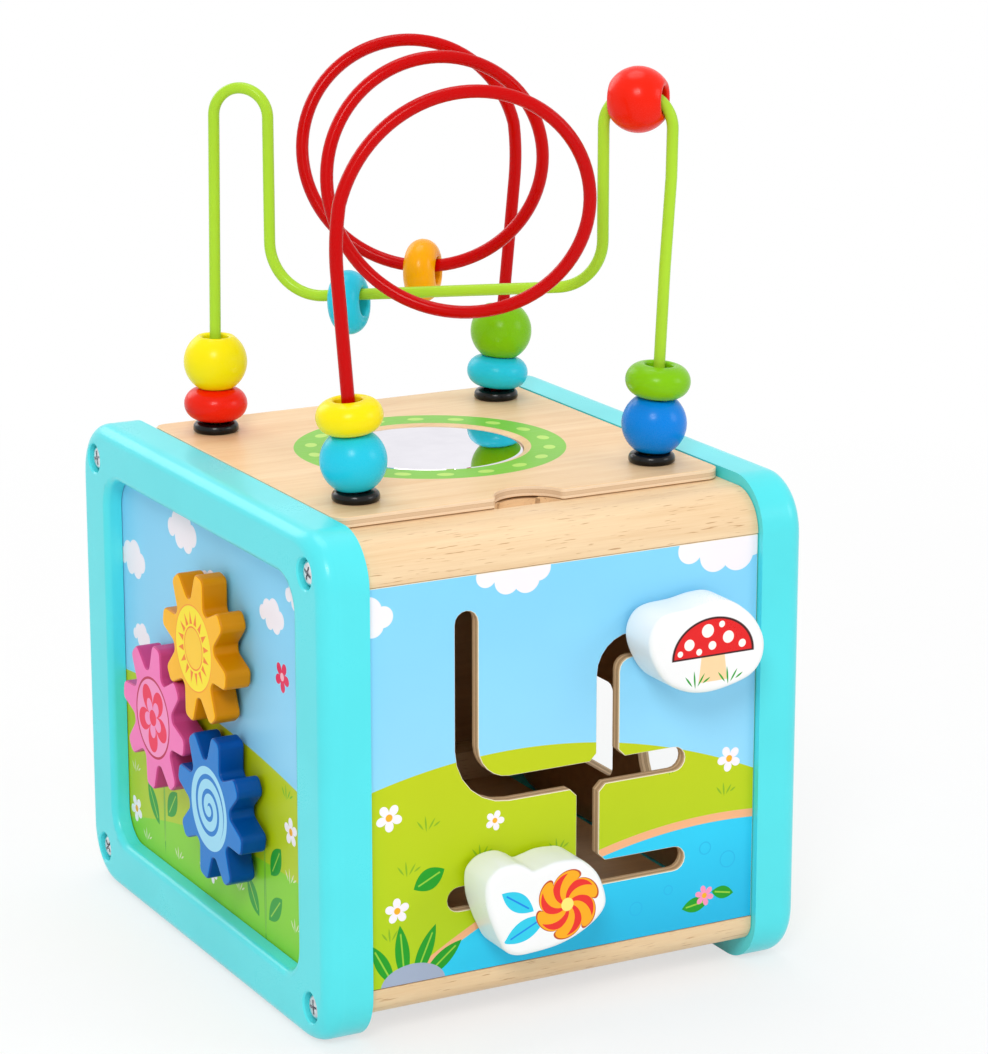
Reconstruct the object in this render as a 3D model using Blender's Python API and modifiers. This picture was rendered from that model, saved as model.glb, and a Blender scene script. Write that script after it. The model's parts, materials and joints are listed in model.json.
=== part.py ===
"""A wooden activity cube: a box of play panels between two rounded side frames, with a bead maze on its lid.

Units are metres, +Z is up and -Y is the front. The origin is on the floor, under the middle of the whole toy.
Every piece is built round the middle of the cube and hangs from one empty, which moves them all to that
origin.
"""

import math

import bmesh
import bpy
from mathutils import Matrix, Vector

# The cube, measured over its two side frames.
CUBE_WIDTH = 0.2000
CUBE_DEPTH = 0.2234
CUBE_HEIGHT = 0.1918

# Clearances.
SEAT_GAP = 0.0003
RUN_GAP = 0.0003
SLIDE_GAP = 0.0005

# Side frames: one rounded ring each, with a stepped window that holds its board.
FRAME_THICKNESS = 0.0187
FRAME_CORNER = 0.0200
FRAME_EDGE = 0.0065
SIDE_BAR = 0.0247
BOTTOM_BAR = 0.0215
TOP_BAR = 0.0193
WINDOW_CORNER = 0.0130
WINDOW_EDGE = 0.0028
REBATE_LEDGE = 0.0060

# Boards.
BOARD_THICKNESS = 0.0050
BOARD_RECESS = 0.0070
PANEL_RECESS = 0.0029
FLOOR_THICKNESS = 0.0050

# Rails between the frames.
RAIL_LIFT = 0.0100
BOTTOM_LIP = 0.0110
BOTTOM_RAIL_ROUND = 0.0080
TOP_RAIL_ROUND = 0.0152
TONGUE_DEPTH = 0.0135
TONGUE_REACH = 0.0105
FLOOR_LEDGE = 0.0080
FLOOR_LEDGE_HEIGHT = 0.0040
TOP_SEAT_WIDTH = 0.0093
TOP_SEAT_HEIGHT = 0.0135

# Frame screws.
SCREW_INSET = 0.0143
SCREW_SINK = 0.0052
SCREW_SINK_RADIUS = 0.0058
SCREW_HEAD_RADIUS = 0.0048
SCREW_HEAD_HEIGHT = 0.0026
SCREW_SHANK_RADIUS = 0.0020
SCREW_BITE = 0.0180
CROSS_SLOT_WIDTH = 0.0013
CROSS_SLOT_LENGTH = 0.0054
CROSS_SLOT_DEPTH = 0.0014

# Lid, with its mirror in a round recess and a finger notch in its front edge.
LID_THICKNESS = 0.0040
LID_SIDE_GAP = 0.0010
LID_DEPTH = 0.1666
LID_CORNER = 0.0055
NOTCH_CENTRE_X = -0.0020
NOTCH_HALF_WIDTH = 0.0140
NOTCH_DEPTH = 0.0115
SCOOP_DEPTH = 0.0035
MIRROR_RADIUS = 0.0360
MIRROR_THICKNESS = 0.0014
MIRROR_SINK = 0.0008
MIRROR_RIM = 0.0030

# Posts: a black cap on the lid at each wire end, and a nut under it.
POST_INSET_X = 0.0180
POST_INSET_Y = 0.0210
CAP_RADIUS = 0.0089
CAP_HEIGHT = 0.0042
CAP_SHANK_RADIUS = 0.0048
NUT_RADIUS = 0.0080
NUT_HEIGHT = 0.0040
SHANK_TAIL = 0.0024

# Wires and beads.
WIRE_STRAIGHT = 0.0006
WIRE_SHORT = 0.0010
GREEN_WIRE_RADIUS = 0.0022
RED_WIRE_RADIUS = 0.0025
BEAD_RADIUS = 0.0124
BEAD_BORE_RADIUS = 0.0052
BALL_HALF = 0.0102
DISC_HALF = 0.0063
BORE_CHAMFER = 0.0018
BEAD_GAP = 0.0003

# Green wire, in the upright plane through two opposite posts. Runs are measured along that diagonal.
LEFT_HUMP_RADIUS = 0.0110
LEFT_HUMP_HEIGHT = 0.1243
LEFT_LEG_LEAN = 0.0016
SAG_BEND_RADIUS = 0.0200
SAG_HEIGHT = 0.0604
SAG_SLOPE = 0.0918
RISE_BEND_RADIUS = 0.0190
RISE_FOOT_RUN = 0.0683
RIGHT_HUMP_RADIUS = 0.0132
RIGHT_HUMP_HEIGHT = 0.1270
RIGHT_HUMP_REACH = 0.0066
RIGHT_HUMP_LEG = 0.0180
RIGHT_KNEE_HEIGHT = 0.0742
RIGHT_KNEE_REACH = 0.0042

# Red wire: two leaning legs, and a coil that leans and shrinks a little between them.
COIL_TURNS = 2.5
COIL_POINTS_A_TURN = 24
COIL_START_REACH = 0.0075
COIL_START_HEIGHT = 0.0944
COIL_END_REACH = 0.0095
COIL_END_HEIGHT = 0.1002
COIL_START_RADIUS = 0.0512
COIL_END_RADIUS = 0.0466
COIL_WAIST = -0.0054
COIL_CROWN = 0.0097
COIL_HEADING = -0.468
COIL_ASPECT = 0.987
COIL_EASE = 0.0110

# Where the loose beads rest on the wires.
SAG_BEAD_RUN = -0.0327
LOOP_BEAD_TURN = 1.75

# Slot track in the front board. Heights are measured from the floor, runs from the middle.
SLOT_WIDTH = 0.0094
LONG_DROP_X = -0.0415
LONG_DROP_TOP = 0.1589
LONG_DROP_BEND = 0.0175
CROSS_RUN_Z = 0.0895
CROSS_RUN_END_X = 0.0505
UPPER_RISE_X = 0.0172
UPPER_RUN_Z = 0.1368
UPPER_RISE_BEND = 0.0097
UPPER_RUN_END_X = 0.0507
LOWER_DROP_X = 0.0089
LOWER_RUN_Z = 0.0501
LOWER_RUN_START_X = -0.0496
LOWER_RUN_END_X = 0.0509
JUNCTION_FLARE = 0.0028

# Sliding blocks.
BLOCK_THICKNESS = 0.0200
BLOCK_STANDOFF = 0.0013
BLOCK_EDGE = 0.0022
STEM_SOCKET_DEPTH = 0.0080
KEEPER_RADIUS = 0.0085
KEEPER_THICKNESS = 0.0030
LOWER_BLOCK_X = -0.0195
BLOCK_OUTLINE_UNIT = 0.001
UPPER_BLOCK_OUTLINE = (
    (11.3, 17.5), (3.3, 18), (-5.7, 16.6), (-14.7, 16), (-19.7, 14), (-22.7, 9.5), (-23.2, 4),
    (-20.7, -3), (-15.7, -10), (-7.7, -14.5), (1.3, -16), (11.3, -14.8), (20.3, -11.8),
    (24.8, -6.5), (25.8, 0), (23.8, 6), (19.3, 12),
)
LOWER_BLOCK_OUTLINE = (
    (15, 14.5), (9.5, 15.6), (4, 15.7), (-1, 14.6), (-5, 14), (-8.5, 16.2), (-12.5, 17.8),
    (-18, 17.5), (-22, 15.4), (-24.6, 11.5), (-24.5, 4), (-22.5, -3), (-19.5, -10), (-16.5, -15.2),
    (-12, -17.5), (-5, -17.6), (4, -16.7), (12, -14.4), (19, -10.7), (23.2, -7), (25, -3),
    (24, 2.5), (21, 9),
)

# Gears.
GEAR_TEETH = 8
GEAR_TIP_RADIUS = 0.0299
GEAR_ROOT_RADIUS = 0.0192
GEAR_TIP_HALF = 0.0033
GEAR_BASE_HALF = 0.0061
GEAR_THICKNESS = 0.0105
GEAR_STANDOFF = 0.0012
GEAR_EDGE = 0.0009
GEAR_BOSS_RADIUS = 0.0080
PIVOT_RADIUS = 0.0030
PIVOT_HEAD_RADIUS = 0.0060
PIVOT_HEAD_HEIGHT = 0.0025
PIVOT_REACH = 0.0070
SUN_GEAR_AT = (-0.0090, 0.1275)
PINK_GEAR_AT = (0.0320, 0.0886)
BLUE_GEAR_AT = (-0.0205, 0.0676)
SUN_GEAR_PHASE = -11.0
PINK_GEAR_PHASE = -8.0
BLUE_GEAR_PHASE = -13.0

# Shape-sorter holes in the right board.
SORT_HOLE = 0.0400
SORT_CORNER = 0.0040
SORT_FRONT_Y = -0.0310
SORT_BACK_Y = 0.0290
SORT_LOW_Z = 0.0602
SORT_HIGH_Z = 0.1270

# Clock on the back board.
CLOCK_HUB_RADIUS = 0.0070
CLOCK_PIN_RADIUS = 0.0025
CLOCK_PIN_HEAD = 0.0055
CLOCK_PIN_CAP = 0.0020
HAND_THICKNESS = 0.0030
HOUR_HAND_LENGTH = 0.0330
HOUR_HAND_HALF = 0.0055
MINUTE_HAND_LENGTH = 0.0500
MINUTE_HAND_HALF = 0.0045
HOUR_HAND_ANGLE = 305.0
MINUTE_HAND_ANGLE = 60.0

# Planes and edges that follow from the sizes above.
FRAME_INNER_X = CUBE_WIDTH / 2 - FRAME_THICKNESS
RAIL_END_X = FRAME_INNER_X - SEAT_GAP
BOARD_FACE_X = CUBE_WIDTH / 2 - BOARD_RECESS
PANEL_FACE_Y = CUBE_DEPTH / 2 - PANEL_RECESS
TONGUE_FACE_Y = PANEL_FACE_Y - BOARD_THICKNESS - SEAT_GAP
TONGUE_BACK_Y = TONGUE_FACE_Y - TONGUE_DEPTH
LID_TOP_Z = CUBE_HEIGHT
LID_BOTTOM_Z = LID_TOP_Z - LID_THICKNESS
TOP_RAIL_Z = LID_BOTTOM_Z - SEAT_GAP
PANEL_TOP_Z = TOP_RAIL_Z - TOP_RAIL_ROUND
PANEL_BOTTOM_Z = RAIL_LIFT + BOTTOM_LIP
TOP_SEAT_Y = LID_DEPTH / 2 - TOP_SEAT_WIDTH
LID_SIDE_X = FRAME_INNER_X - LID_SIDE_GAP
POST_X = LID_SIDE_X - POST_INSET_X
POST_Y = LID_DEPTH / 2 - POST_INSET_Y
CAP_BASE_Z = LID_TOP_Z + SEAT_GAP
CAP_TOP_Z = CAP_BASE_Z + CAP_HEIGHT
NUT_TOP_Z = LID_BOTTOM_Z - SEAT_GAP
NUT_BOTTOM_Z = NUT_TOP_Z - NUT_HEIGHT
SHANK_END_Z = NUT_BOTTOM_Z - SHANK_TAIL
WIRE_FREE_Z = CAP_TOP_Z + WIRE_STRAIGHT
WIRE_END_Z = SHANK_END_Z + WIRE_SHORT
SLOT_HALF = SLOT_WIDTH / 2
STEM_RADIUS = SLOT_HALF - SLIDE_GAP
UPPER_STEM_X = UPPER_RUN_END_X - SLOT_HALF
GEAR_BACK_X = BOARD_FACE_X + GEAR_STANDOFF
GEAR_FACE_X = GEAR_BACK_X + GEAR_THICKNESS
BLOCK_FACE_Y = PANEL_FACE_Y + BLOCK_STANDOFF + BLOCK_THICKNESS
CLOCK_Z = (PANEL_TOP_Z + PANEL_BOTTOM_Z) / 2
CLOCK_FACE_Y = PANEL_FACE_Y + 2 * HAND_THICKNESS + 3 * RUN_GAP + CLOCK_PIN_CAP
DIAGONAL = math.hypot(POST_X, POST_Y)
GREEN_HANG = BEAD_BORE_RADIUS - GREEN_WIRE_RADIUS - BEAD_GAP / 3
RED_HANG = BEAD_BORE_RADIUS - RED_WIRE_RADIUS - BEAD_GAP / 3

# The middle of the whole toy, with its gears, blocks and clock pin, seen from the middle of the cube.
MIDDLE_X = (CUBE_WIDTH / 2 - GEAR_FACE_X) / 2
MIDDLE_Y = (CLOCK_FACE_Y - BLOCK_FACE_Y) / 2

COLOURS = {
    "turquoise_paint": ((0.15, 0.80, 0.84), 0.32, 0.0),
    "bare_beech": ((0.86, 0.66, 0.42), 0.50, 0.0),
    "printed_ply": ((0.36, 0.72, 0.95), 0.40, 0.0),
    "lid_ply": ((0.88, 0.69, 0.45), 0.45, 0.0),
    "inner_ply": ((0.80, 0.62, 0.40), 0.60, 0.0),
    "silvered": ((0.88, 0.90, 0.92), 0.06, 1.0),
    "black_gloss": ((0.02, 0.02, 0.02), 0.18, 0.0),
    "screw_steel": ((0.72, 0.72, 0.74), 0.28, 1.0),
    "red_enamel": ((0.72, 0.01, 0.02), 0.22, 0.0),
    "lime_enamel": ((0.38, 0.72, 0.05), 0.22, 0.0),
    "bead_red": ((0.83, 0.06, 0.02), 0.28, 0.0),
    "bead_yellow": ((0.95, 0.84, 0.02), 0.28, 0.0),
    "bead_sky": ((0.08, 0.66, 0.83), 0.28, 0.0),
    "bead_green": ((0.32, 0.64, 0.02), 0.28, 0.0),
    "bead_blue": ((0.01, 0.24, 0.74), 0.28, 0.0),
    "bead_orange": ((0.96, 0.42, 0.03), 0.28, 0.0),
    "sun_paint": ((0.95, 0.50, 0.02), 0.40, 0.0),
    "pink_paint": ((0.90, 0.32, 0.56), 0.40, 0.0),
    "blue_paint": ((0.01, 0.30, 0.80), 0.40, 0.0),
    "white_paint": ((0.90, 0.90, 0.90), 0.35, 0.0),
    "stem_wood": ((0.85, 0.68, 0.48), 0.50, 0.0),
}

X_AXIS_PLANE = Matrix(((0, 0, 1, 0), (1, 0, 0, 0), (0, 1, 0, 0), (0, 0, 0, 1)))
Y_AXIS_PLANE = Matrix(((1, 0, 0, 0), (0, 0, -1, 0), (0, 1, 0, 0), (0, 0, 0, 1)))
TURNED_ABOUT_X = Matrix(((0, 0, 1, 0), (0, 1, 0, 0), (-1, 0, 0, 0), (0, 0, 0, 1)))
TURNED_ABOUT_Y = Matrix(((1, 0, 0, 0), (0, 0, 1, 0), (0, -1, 0, 0), (0, 0, 0, 1)))


def clear_scene():
    for obj in list(bpy.data.objects):
        bpy.data.objects.remove(obj, do_unlink=True)


def new_collection(name, hidden=False):
    collection = bpy.data.collections.new(name)
    bpy.context.scene.collection.children.link(collection)
    collection.hide_render = hidden
    return collection


def material(name):
    found = bpy.data.materials.get(name)
    if found:
        return found
    rgb, roughness, metallic = COLOURS[name]
    made = bpy.data.materials.new(name)
    made.use_nodes = True
    shader = made.node_tree.nodes["Principled BSDF"]
    shader.inputs["Base Color"].default_value = (*rgb, 1.0)
    shader.inputs["Roughness"].default_value = roughness
    shader.inputs["Metallic"].default_value = metallic
    made.diffuse_color = (*rgb, 1.0)
    return made


def arc(centre, radius, start, end, steps):
    """Points on a circle from one angle to another, in degrees, both ends included."""
    points = []
    for step in range(steps + 1):
        angle = math.radians(start + (end - start) * step / steps)
        points.append((centre[0] + radius * math.cos(angle), centre[1] + radius * math.sin(angle)))
    return points


def rounded_rectangle(left, right, low, high, radius, steps=5):
    points = []
    points += arc((right - radius, high - radius), radius, 0, 90, steps)
    points += arc((left + radius, high - radius), radius, 90, 180, steps)
    points += arc((left + radius, low + radius), radius, 180, 270, steps)
    points += arc((right - radius, low + radius), radius, 270, 360, steps)
    return points


def rectangle(left, right, low, high):
    return [(right, low), (right, high), (left, high), (left, low)]


def filleted(corners, radii, steps):
    """An open line whose corners are rounded with the given radii. A radius of 0 keeps the corner."""
    points = [corners[0]]
    for before, corner, after, radius in zip(corners, corners[1:], corners[2:], radii):
        here = Vector(corner)
        back = (Vector(before) - here).normalized()
        ahead = (Vector(after) - here).normalized()
        if radius == 0:
            points.append(tuple(here))
            continue
        half = back.angle(ahead) / 2
        middle = here + (back + ahead).normalized() * radius / math.sin(half)
        first = here + back * radius / math.tan(half)
        last = here + ahead * radius / math.tan(half)
        for step in range(steps + 1):
            spoke = (first - middle).slerp(last - middle, step / steps)
            points.append(tuple(middle + spoke.normalized() * radius))
    points.append(corners[-1])
    return points


def smooth_loop(points, steps=2):
    """A closed Catmull-Rom line through the points."""
    result = []
    count = len(points)
    for index in range(count):
        p0, p1, p2, p3 = (Vector(points[(index + shift) % count]) for shift in (-1, 0, 1, 2))
        for step in range(steps):
            t = step / steps
            spot = 0.5 * (
                2 * p1 + (p2 - p0) * t + (2 * p0 - 5 * p1 + 4 * p2 - p3) * t * t
                + (3 * p1 - p0 - 3 * p2 + p3) * t * t * t
            )
            result.append(tuple(spot))
    return result


def baked(source, name, collection, place=Matrix.Identity(4)):
    """Makes an object's evaluated shape into a closed mesh object, and removes the source."""
    bpy.context.view_layer.update()
    evaluated = source.evaluated_get(bpy.context.evaluated_depsgraph_get())
    mesh = bpy.data.meshes.new_from_object(evaluated)
    form = bmesh.new()
    form.from_mesh(mesh)
    bmesh.ops.remove_doubles(form, verts=form.verts, dist=0.00001)
    bmesh.ops.dissolve_degenerate(form, edges=form.edges, dist=0.00001)
    bmesh.ops.recalc_face_normals(form, faces=form.faces)
    form.transform(source.matrix_world)
    form.to_mesh(mesh)
    form.free()
    mesh.name = name
    obj = bpy.data.objects.new(name, mesh)
    obj.matrix_world = place
    collection.objects.link(obj)
    bpy.data.objects.remove(source, do_unlink=True)
    return obj


def flat_shape(name, loops, thickness, collection, place=Matrix.Identity(4)):
    """A flat outline, with any holes after its outer loop, as a plate from local z 0 up to its thickness."""
    curve = bpy.data.curves.new(name + "_outline", "CURVE")
    curve.dimensions = "2D"
    curve.fill_mode = "BOTH"
    curve.extrude = thickness / 2
    for loop in loops:
        spline = curve.splines.new("POLY")
        spline.points.add(len(loop) - 1)
        for point, (u, v) in zip(spline.points, loop):
            point.co = (u, v, 0.0, 1.0)
        spline.use_cyclic_u = True
    source = bpy.data.objects.new(name + "_outline", curve)
    source.location.z = thickness / 2
    collection.objects.link(source)
    return baked(source, name, collection, place)


def turned_shape(name, profile, steps, collection, place=Matrix.Identity(4), closed=False):
    """A turned solid about local Z. The profile holds (radius, height), down the outer side from the top."""
    mesh = bpy.data.meshes.new(name + "_profile")
    edges = [(index, index + 1) for index in range(len(profile) - 1)]
    if closed:
        edges.append((len(profile) - 1, 0))
    mesh.from_pydata([(radius, 0.0, height) for radius, height in profile], edges, [])
    source = bpy.data.objects.new(name + "_profile", mesh)
    collection.objects.link(source)
    screw = source.modifiers.new("turn", "SCREW")
    screw.steps = steps
    screw.render_steps = steps
    screw.use_merge_vertices = True
    screw.merge_threshold = 0.00002
    screw.use_normal_calculate = True
    return baked(source, name, collection, place)


def rod(name, radius, low, high, steps, collection, place=Matrix.Identity(4)):
    return turned_shape(name, [(0, high), (radius, high), (radius, low), (0, low)], steps, collection, place)


def wire(name, radius, points, resolution, collection):
    curve = bpy.data.curves.new(name, "CURVE")
    curve.dimensions = "3D"
    curve.bevel_depth = radius
    curve.bevel_resolution = resolution
    curve.use_fill_caps = True
    spline = curve.splines.new("POLY")
    spline.points.add(len(points) - 1)
    for point, spot in zip(spline.points, points):
        point.co = (*spot, 1.0)
    spline.use_smooth = True
    source = bpy.data.objects.new(name + "_line", curve)
    collection.objects.link(source)
    return baked(source, name, collection)


def boolean(obj, other, operation="DIFFERENCE"):
    modifier = obj.modifiers.new(operation.lower() + "_" + other.name, "BOOLEAN")
    modifier.operation = operation
    modifier.object = other
    modifier.solver = "EXACT"


def as_cutter(obj):
    obj.hide_render = True
    obj.display_type = "WIRE"
    return obj


def painted(obj, name, smooth=False):
    obj.data.materials.clear()
    obj.data.materials.append(material(name))
    if smooth:
        obj.data.shade_smooth()
        obj.data.set_sharp_from_angle(angle=math.radians(35))
    return obj


def bevel(obj, width, segments, angle=60):
    modifier = obj.modifiers.new("rounded_edges", "BEVEL")
    modifier.width = width
    modifier.segments = segments
    modifier.limit_method = "ANGLE"
    modifier.angle_limit = math.radians(angle)
    return modifier


def lofted_ring(name, loops, collection):
    """A closed ring whose skin joins each loop of points to the next, and the last to the first."""
    form = bmesh.new()
    rims = [[form.verts.new(point) for point in loop] for loop in loops]
    for rim, following in zip(rims, rims[1:] + rims[:1]):
        for index in range(len(rim)):
            form.faces.new((rim[index - 1], rim[index], following[index], following[index - 1]))
    bmesh.ops.recalc_face_normals(form, faces=form.faces)
    mesh = bpy.data.meshes.new(name)
    form.to_mesh(mesh)
    form.free()
    obj = bpy.data.objects.new(name, mesh)
    collection.objects.link(obj)
    return obj


def window_loop(grow):
    """The frame window's outline in Y and Z, grown by some distance all round."""
    half_y = CUBE_DEPTH / 2 - SIDE_BAR + grow
    low = BOTTOM_BAR - grow
    high = CUBE_HEIGHT - TOP_BAR + grow
    return rounded_rectangle(-half_y, half_y, low, high, WINDOW_CORNER + grow)


def frame_loop(inset):
    """The frame's outer outline in Y and Z, drawn in by some distance all round."""
    half_y = CUBE_DEPTH / 2 - inset
    return rounded_rectangle(-half_y, half_y, inset, CUBE_HEIGHT - inset, FRAME_CORNER - inset)


def screw_places():
    y = CUBE_DEPTH / 2 - SCREW_INSET
    low, high = SCREW_INSET, CUBE_HEIGHT - SCREW_INSET
    return {
        "front_bottom": (-y, low), "back_bottom": (y, low),
        "front_top": (-y, high), "back_top": (y, high),
    }


def frame_loops():
    """Loops of points round a right side frame, from the outer edge of its inner face to its rebate."""
    half = CUBE_WIDTH / 2
    loops = [(FRAME_INNER_X, frame_loop(0.0))]
    for step in range(4):
        angle = math.radians(30 * step)
        drawn = FRAME_EDGE * (1 - math.cos(angle))
        loops.append((half - FRAME_EDGE * (1 - math.sin(angle)), frame_loop(drawn)))
    for step in range(3):
        angle = math.radians(90 - 45 * step)
        grown = WINDOW_EDGE * (1 - math.cos(angle))
        loops.append((half - WINDOW_EDGE * (1 - math.sin(angle)), window_loop(grown)))
    loops.append((BOARD_FACE_X, window_loop(0.0)))
    loops.append((BOARD_FACE_X, window_loop(REBATE_LEDGE)))
    loops.append((FRAME_INNER_X, window_loop(REBATE_LEDGE)))
    return loops


def make_frames(parts, cutters):
    half = CUBE_WIDTH / 2
    sink_floor = half - SCREW_SINK
    for side, name in ((-1, "side_frame_left"), (1, "side_frame_right")):
        loops = [[(side * x, y, z) for y, z in loop] for x, loop in frame_loops()]
        frame = lofted_ring(name, loops, parts)
        for where, (y, z) in screw_places().items():
            turn = Matrix.Identity(4) if side > 0 else Matrix.Rotation(math.pi, 4, "Z")
            hole = turned_shape(
                name + "_hole_" + where,
                [
                    (0, half + 0.002), (SCREW_SINK_RADIUS, half + 0.002), (SCREW_SINK_RADIUS, sink_floor),
                    (SCREW_SHANK_RADIUS + RUN_GAP, sink_floor),
                    (SCREW_SHANK_RADIUS + RUN_GAP, FRAME_INNER_X - 0.002), (0, FRAME_INNER_X - 0.002),
                ],
                16, cutters, Matrix.Translation((0, y, z)) @ turn @ TURNED_ABOUT_X,
            )
            boolean(frame, as_cutter(hole))
        painted(frame, "turquoise_paint", True)


def make_screws(parts, cutters):
    """Cross-head screws through the frames into the ends of the four rails."""
    head_floor = CUBE_WIDTH / 2 - SCREW_SINK + SEAT_GAP
    head_top = head_floor + SCREW_HEAD_HEIGHT
    tip = FRAME_INNER_X - SCREW_BITE
    dome = SCREW_HEAD_RADIUS * 0.72
    profile = [
        (0, head_top), (dome, head_top), (SCREW_HEAD_RADIUS, head_top - 0.0009),
        (SCREW_HEAD_RADIUS, head_floor), (SCREW_SHANK_RADIUS, head_floor),
        (SCREW_SHANK_RADIUS, tip + 0.003), (0.0004, tip), (0, tip),
    ]
    width, length = CROSS_SLOT_WIDTH / 2, CROSS_SLOT_LENGTH / 2
    cross = [
        (width, width), (width, length), (-width, length), (-width, width),
        (-length, width), (-length, -width), (-width, -width), (-width, -length),
        (width, -length), (width, -width), (length, -width), (length, width),
    ]
    recess = flat_shape(
        "screw_recess", [cross], CROSS_SLOT_DEPTH + 0.001, cutters,
        Matrix.Translation((0, 0, head_top - CROSS_SLOT_DEPTH)) @ Matrix.Rotation(math.radians(20), 4, "Z"),
    )
    blank = turned_shape("screw_blank", profile, 12, cutters)
    boolean(blank, as_cutter(recess))
    master = baked(blank, "frame_screw_shape", cutters)
    as_cutter(master)
    painted(master, "screw_steel", True)
    for side, label in ((-1, "left"), (1, "right")):
        for where, (y, z) in screw_places().items():
            screw = bpy.data.objects.new("frame_screw_" + label + "_" + where, master.data)
            turn = Matrix.Identity(4) if side > 0 else Matrix.Rotation(math.pi, 4, "Z")
            screw.matrix_world = Matrix.Translation((0, y, z)) @ turn @ TURNED_ABOUT_X
            parts.objects.link(screw)


def top_rail_section():
    """The front rail's section in Y and Z: a quarter round, a seat for the lid and a tongue for the panel."""
    face = -PANEL_FACE_Y
    tongue_end = PANEL_TOP_Z - TONGUE_REACH
    seat_z = TOP_RAIL_Z - TOP_SEAT_HEIGHT
    points = [(face, PANEL_TOP_Z), (-TONGUE_FACE_Y, PANEL_TOP_Z), (-TONGUE_FACE_Y, tongue_end)]
    points += [(-TONGUE_BACK_Y, tongue_end), (-TONGUE_BACK_Y, seat_z)]
    points += [(-TOP_SEAT_Y, seat_z), (-TOP_SEAT_Y, TOP_RAIL_Z)]
    points += arc((face + TOP_RAIL_ROUND, TOP_RAIL_Z - TOP_RAIL_ROUND), TOP_RAIL_ROUND, 90, 180, 8)[:-1]
    return points


def bottom_rail_section():
    face = -PANEL_FACE_Y
    ledge_y = -TONGUE_BACK_Y + FLOOR_LEDGE
    ledge_z = RAIL_LIFT + FLOOR_LEDGE_HEIGHT
    tongue_end = PANEL_BOTTOM_Z + TONGUE_REACH
    points = [(face, PANEL_BOTTOM_Z)]
    points += arc((face + BOTTOM_RAIL_ROUND, RAIL_LIFT + BOTTOM_RAIL_ROUND), BOTTOM_RAIL_ROUND, 180, 270, 5)
    points += [(ledge_y, RAIL_LIFT), (ledge_y, ledge_z)]
    points += [(-TONGUE_BACK_Y, ledge_z), (-TONGUE_BACK_Y, tongue_end)]
    points += [(-TONGUE_FACE_Y, tongue_end), (-TONGUE_FACE_Y, PANEL_BOTTOM_Z)]
    return points


def make_rails(parts, cutters):
    bores = {}
    for side in (-1, 1):
        for where, (y, z) in screw_places().items():
            turn = Matrix.Identity(4) if side > 0 else Matrix.Rotation(math.pi, 4, "Z")
            place = Matrix.Translation((0, y, z)) @ turn @ TURNED_ABOUT_X
            depth = FRAME_INNER_X - SCREW_BITE - RUN_GAP
            bore = rod(
                "rail_bore_" + where + ("_left" if side < 0 else "_right"),
                SCREW_SHANK_RADIUS + RUN_GAP, depth, RAIL_END_X + 0.002, 12, cutters, place,
            )
            bores.setdefault(where, []).append(as_cutter(bore))
    mirror_y = Matrix.Scale(-1, 4, (0, 1, 0))
    for level, section in (("top", top_rail_section()), ("bottom", bottom_rail_section())):
        for end in ("front", "back"):
            name = level + "_rail_" + end
            place = Matrix.Translation((-RAIL_END_X, 0, 0)) @ X_AXIS_PLANE
            rail = flat_shape(name, [section], 2 * RAIL_END_X, parts, place)
            rail.data.transform(rail.matrix_world)
            rail.matrix_world = Matrix.Identity(4)
            if end == "back":
                rail.data.transform(mirror_y)
                rail.data.flip_normals()
            for bore in bores[end + "_" + level]:
                boolean(rail, bore)
            painted(rail, "bare_beech", True)
    scoop = flat_shape(
        "finger_scoop", [notch_loop()], SCOOP_DEPTH + 0.002, cutters,
        Matrix.Translation((0, 0, TOP_RAIL_Z - SCOOP_DEPTH)),
    )
    boolean(bpy.data.objects["top_rail_front"], as_cutter(scoop))


def notch_radius():
    return (NOTCH_HALF_WIDTH ** 2 + NOTCH_DEPTH ** 2) / (2 * NOTCH_DEPTH)


def notch_loop(front=0.0):
    """The finger notch's outline: an arc behind the lid's front edge, closed some way in front of it."""
    radius = notch_radius()
    centre = (NOTCH_CENTRE_X, -LID_DEPTH / 2 + NOTCH_DEPTH - radius)
    start = math.degrees(math.asin((radius - NOTCH_DEPTH) / radius))
    points = arc(centre, radius, start, 180 - start, 16)
    if front > 0:
        points += [(points[-1][0], -LID_DEPTH / 2 - front), (points[0][0], -LID_DEPTH / 2 - front)]
    return points


def slot_band(points, widths):
    """The outline of a band along a line, with its own half width at each point and square ends."""
    left, right = [], []
    for index, (x, z) in enumerate(points):
        before = points[max(index - 1, 0)]
        after = points[min(index + 1, len(points) - 1)]
        run = Vector((after[0] - before[0], after[1] - before[1])).normalized()
        side = Vector((-run.y, run.x)) * widths[index]
        left.append((x + side.x, z + side.y))
        right.append((x - side.x, z - side.y))
    return left + right[::-1]


def round_end(centre, radius, start, steps=8):
    return arc(centre, radius, start, start + 180, steps)


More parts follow.
